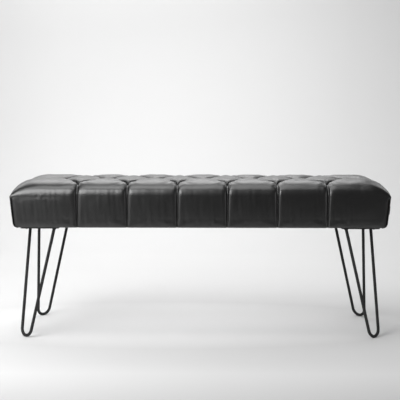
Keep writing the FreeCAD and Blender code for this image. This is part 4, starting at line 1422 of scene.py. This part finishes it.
@dataclass(frozen=True)
class PaperFinish:
    """The studio's paper.

    Its colour holds painted shade that darkens it to the right, a painted pool of light that makes it paler
    under the seat, painted shade that greys it far behind the seat and painted shade that makes it dark near
    the camera. It is clear when seen from behind.
    """

    paper: Colour = (0.74, 0.74, 0.74)
    # Paper colour at the right: painted shade, darker where the light falls off
    painted_shade_paper: Colour = (0.645, 0.645, 0.645)
    fall_off: float = 0.9
    fleck: float = 0.4
    fleck_share: float = 0.1
    # Painted light under the seat: paler paper where the seat's shadow falls
    painted_light_under_seat: Colour = (0.97, 0.97, 0.97)
    painted_light_place: tuple[float, float] = (-0.10, 0.05)
    painted_light_reach: tuple[float, float] = (0.86, 0.42)
    painted_light_share: float = 0.92
    # Painted shade on the paper far behind the seat
    painted_shade_far_floor: Colour = (0.30, 0.30, 0.30)
    painted_shade_far_start: float = 0.5
    painted_shade_far_end: float = 1.3
    painted_shade_far_share: float = 0.12
    # Painted shade on the paper near the camera, out of the frame, which the leather reflects
    shade: Colour = (0.05, 0.05, 0.05)
    shade_start: float = -0.68
    shade_end: float = -1.8

    def make(self) -> Material:
        """Build the material."""
        r = Recipe("studio_paper")
        beside = r.axis("X")
        ahead = r.axis("Y")
        fleck = (r.noise(r.place(), self.fleck, 2.0, 0.5) - 0.5) * self.fleck_share
        # Painted shade: the paper darkens to the right, with flecks of noise along the fall
        painted_shade_right = r.spread(beside + fleck, -self.fall_off, self.fall_off)
        # Painted light: a pale pool on the paper under the seat that lifts the seat's shadow
        off_x = (beside - self.painted_light_place[0]) * (1.0 / self.painted_light_reach[0])
        off_y = (ahead - self.painted_light_place[1]) * (1.0 / self.painted_light_reach[1])
        under = r.spread(off_x * off_x + off_y * off_y, 0.0, 1.0, self.painted_light_share, 0.0)
        # Painted shade: the paper greys far behind the seat
        painted_far_shade = r.spread(ahead, self.painted_shade_far_start, self.painted_shade_far_end, 0.0, self.painted_shade_far_share)
        # Painted shade: the paper goes dark towards the camera
        painted_near_shade = r.spread(ahead, self.shade_end, self.shade_start, 1.0, 0.0)
        base = r.tint(under, r.tint(painted_shade_right, self.paper, self.painted_shade_paper), self.painted_light_under_seat)
        base = r.tint(painted_near_shade, r.tint(painted_far_shade, base, self.painted_shade_far_floor), self.shade)
        material = r.done(Base_Color=base, Roughness=0.95, Specular_IOR_Level=0.0)
        behind = r.node("ShaderNodeNewGeometry", output="Backfacing")
        clear = r.node("ShaderNodeBsdfTransparent")
        seen = Wire(r, r.shader.outputs[0])
        one_sided = r.node("ShaderNodeMixShader", None, {0: behind, 1: seen, 2: clear})
        r.feed(r.tree.nodes["Material Output"].inputs["Surface"], one_sided)
        return material


@dataclass(frozen=True)
class Studio:
    """A pale seamless sweep with soft light from the upper left."""

    half_width: float = 7.0
    front: float = -6.0
    rear: float = 3.2
    sweep: float = 1.4
    top: float = 6.0
    columns: int = 29
    floor_rows: int = 20
    turn_rows: int = 24
    paper: PaperFinish = PaperFinish()
    ambient: float = 0.03
    lamps: tuple[Lamp, ...] = (
        Lamp("left_soft_box", (-1.2, -1.95, 1.85), (-0.3, -0.1, 0.45), (1.3, 1.9), 60.0),
        Lamp("left_high_soft_box", (-1.05, -0.65, 2.75), (-0.4, -0.2, 0.45), (0.8, 1.7), 12.5),
        Lamp("left_card", (-1.6, -2.45, 0.6), (-0.4, -0.2, 0.42), (1.0, 1.0), 4.4),
        Lamp("right_card", (1.6, -2.45, 0.6), (0.4, -0.2, 0.42), (1.0, 1.0), 0.5),
        Lamp("overhead_soft_box", (-0.05, -0.2, 2.75), (-0.05, -0.2, 0.45), (1.3, 2.0), 20.0),
        Lamp("rear_soft_box", (-0.15, 2.15, 2.45), (0.0, -0.1, 0.45), (2.2, 1.7), 24.5),
        Lamp("left_rear_card", (-1.6, 1.5, 1.9), (-0.3, -0.1, 0.45), (1.1, 1.1), 6.5),
        Lamp("right_rear_card", (1.9, 1.8, 2.1), (0.1, 0.0, 0.45), (1.2, 1.2), 7.0),
        Lamp("left_fill", (-2.6, -1.2, 0.8), (0.0, -0.2, 0.42), (2.0, 1.4), 14.0),
        Lamp("right_fill", (2.6, -1.2, 0.8), (0.0, -0.2, 0.42), (2.0, 1.4), 11.0),
        Lamp("backdrop_wash", (-0.3, 1.2, 2.8), (0.0, 3.2, 1.6), (2.4, 0.6), 61.0),
    )

    def build_sweep(self) -> None:
        """Make the sweep: a floor, a quarter round and a wall, in one sheet."""
        turn = np.linspace(0.0, np.pi / 2.0, self.turn_rows + 1)[1:]
        start = self.rear - self.sweep
        floor = np.linspace(self.front, start, self.floor_rows)
        y = np.concatenate([floor, start + self.sweep * np.sin(turn), [self.rear]])
        z = np.concatenate([0.0 * floor, self.sweep * (1.0 - np.cos(turn)), [self.top]])
        x = np.linspace(-self.half_width, self.half_width, self.columns)[:, None]
        points = np.stack(np.broadcast_arrays(x, y, z), axis=-1)
        quads = grid_quads(point_numbers(points))
        sweep = mesh_piece("studio_sweep", points, quads, self.paper.make())

    def build(self) -> None:
        """Make the sweep, the world and the lamps."""
        self.build_sweep()
        world = bpy.data.worlds.new("studio_air")
        world.use_nodes = True
        air = world.node_tree.nodes["Background"]
        air.inputs["Color"].default_value = (1.0, 1.0, 1.0, 1.0)
        air.inputs["Strength"].default_value = self.ambient
        bpy.context.scene.world = world
        for lamp in self.lamps:
            lamp.build()
        bpy.context.scene.view_settings.view_transform = "Standard"


def main() -> None:
    """Build the view, the studio, the cushion, the underside, the legs and the frame."""
    logging.basicConfig(level=logging.INFO, format="%(name)s: %(message)s")
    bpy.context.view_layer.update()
    PhotoView().build()
    Studio().build()
    leather = LeatherFinish().make()
    zinc = MetalFinish("zinc_plate", (0.55, 0.55, 0.56), (0.42, 0.41, 0.39), 1.0, 0.34).make()
    cushion = TuftedCushion()
    LeatherCover().build(cushion, leather)
    Batting().build(cushion)
    FoamBlock().build(cushion.tufting)
    CoveredButtons().build(cushion.tufting, leather)
    underside = Underside()
    underside.build_cloth()
    underside.build_staples(zinc)
    HairpinLegs().dress()
    InnerFrame().dress(cushion.tufting, zinc)


if __name__ == "__main__":
    main()
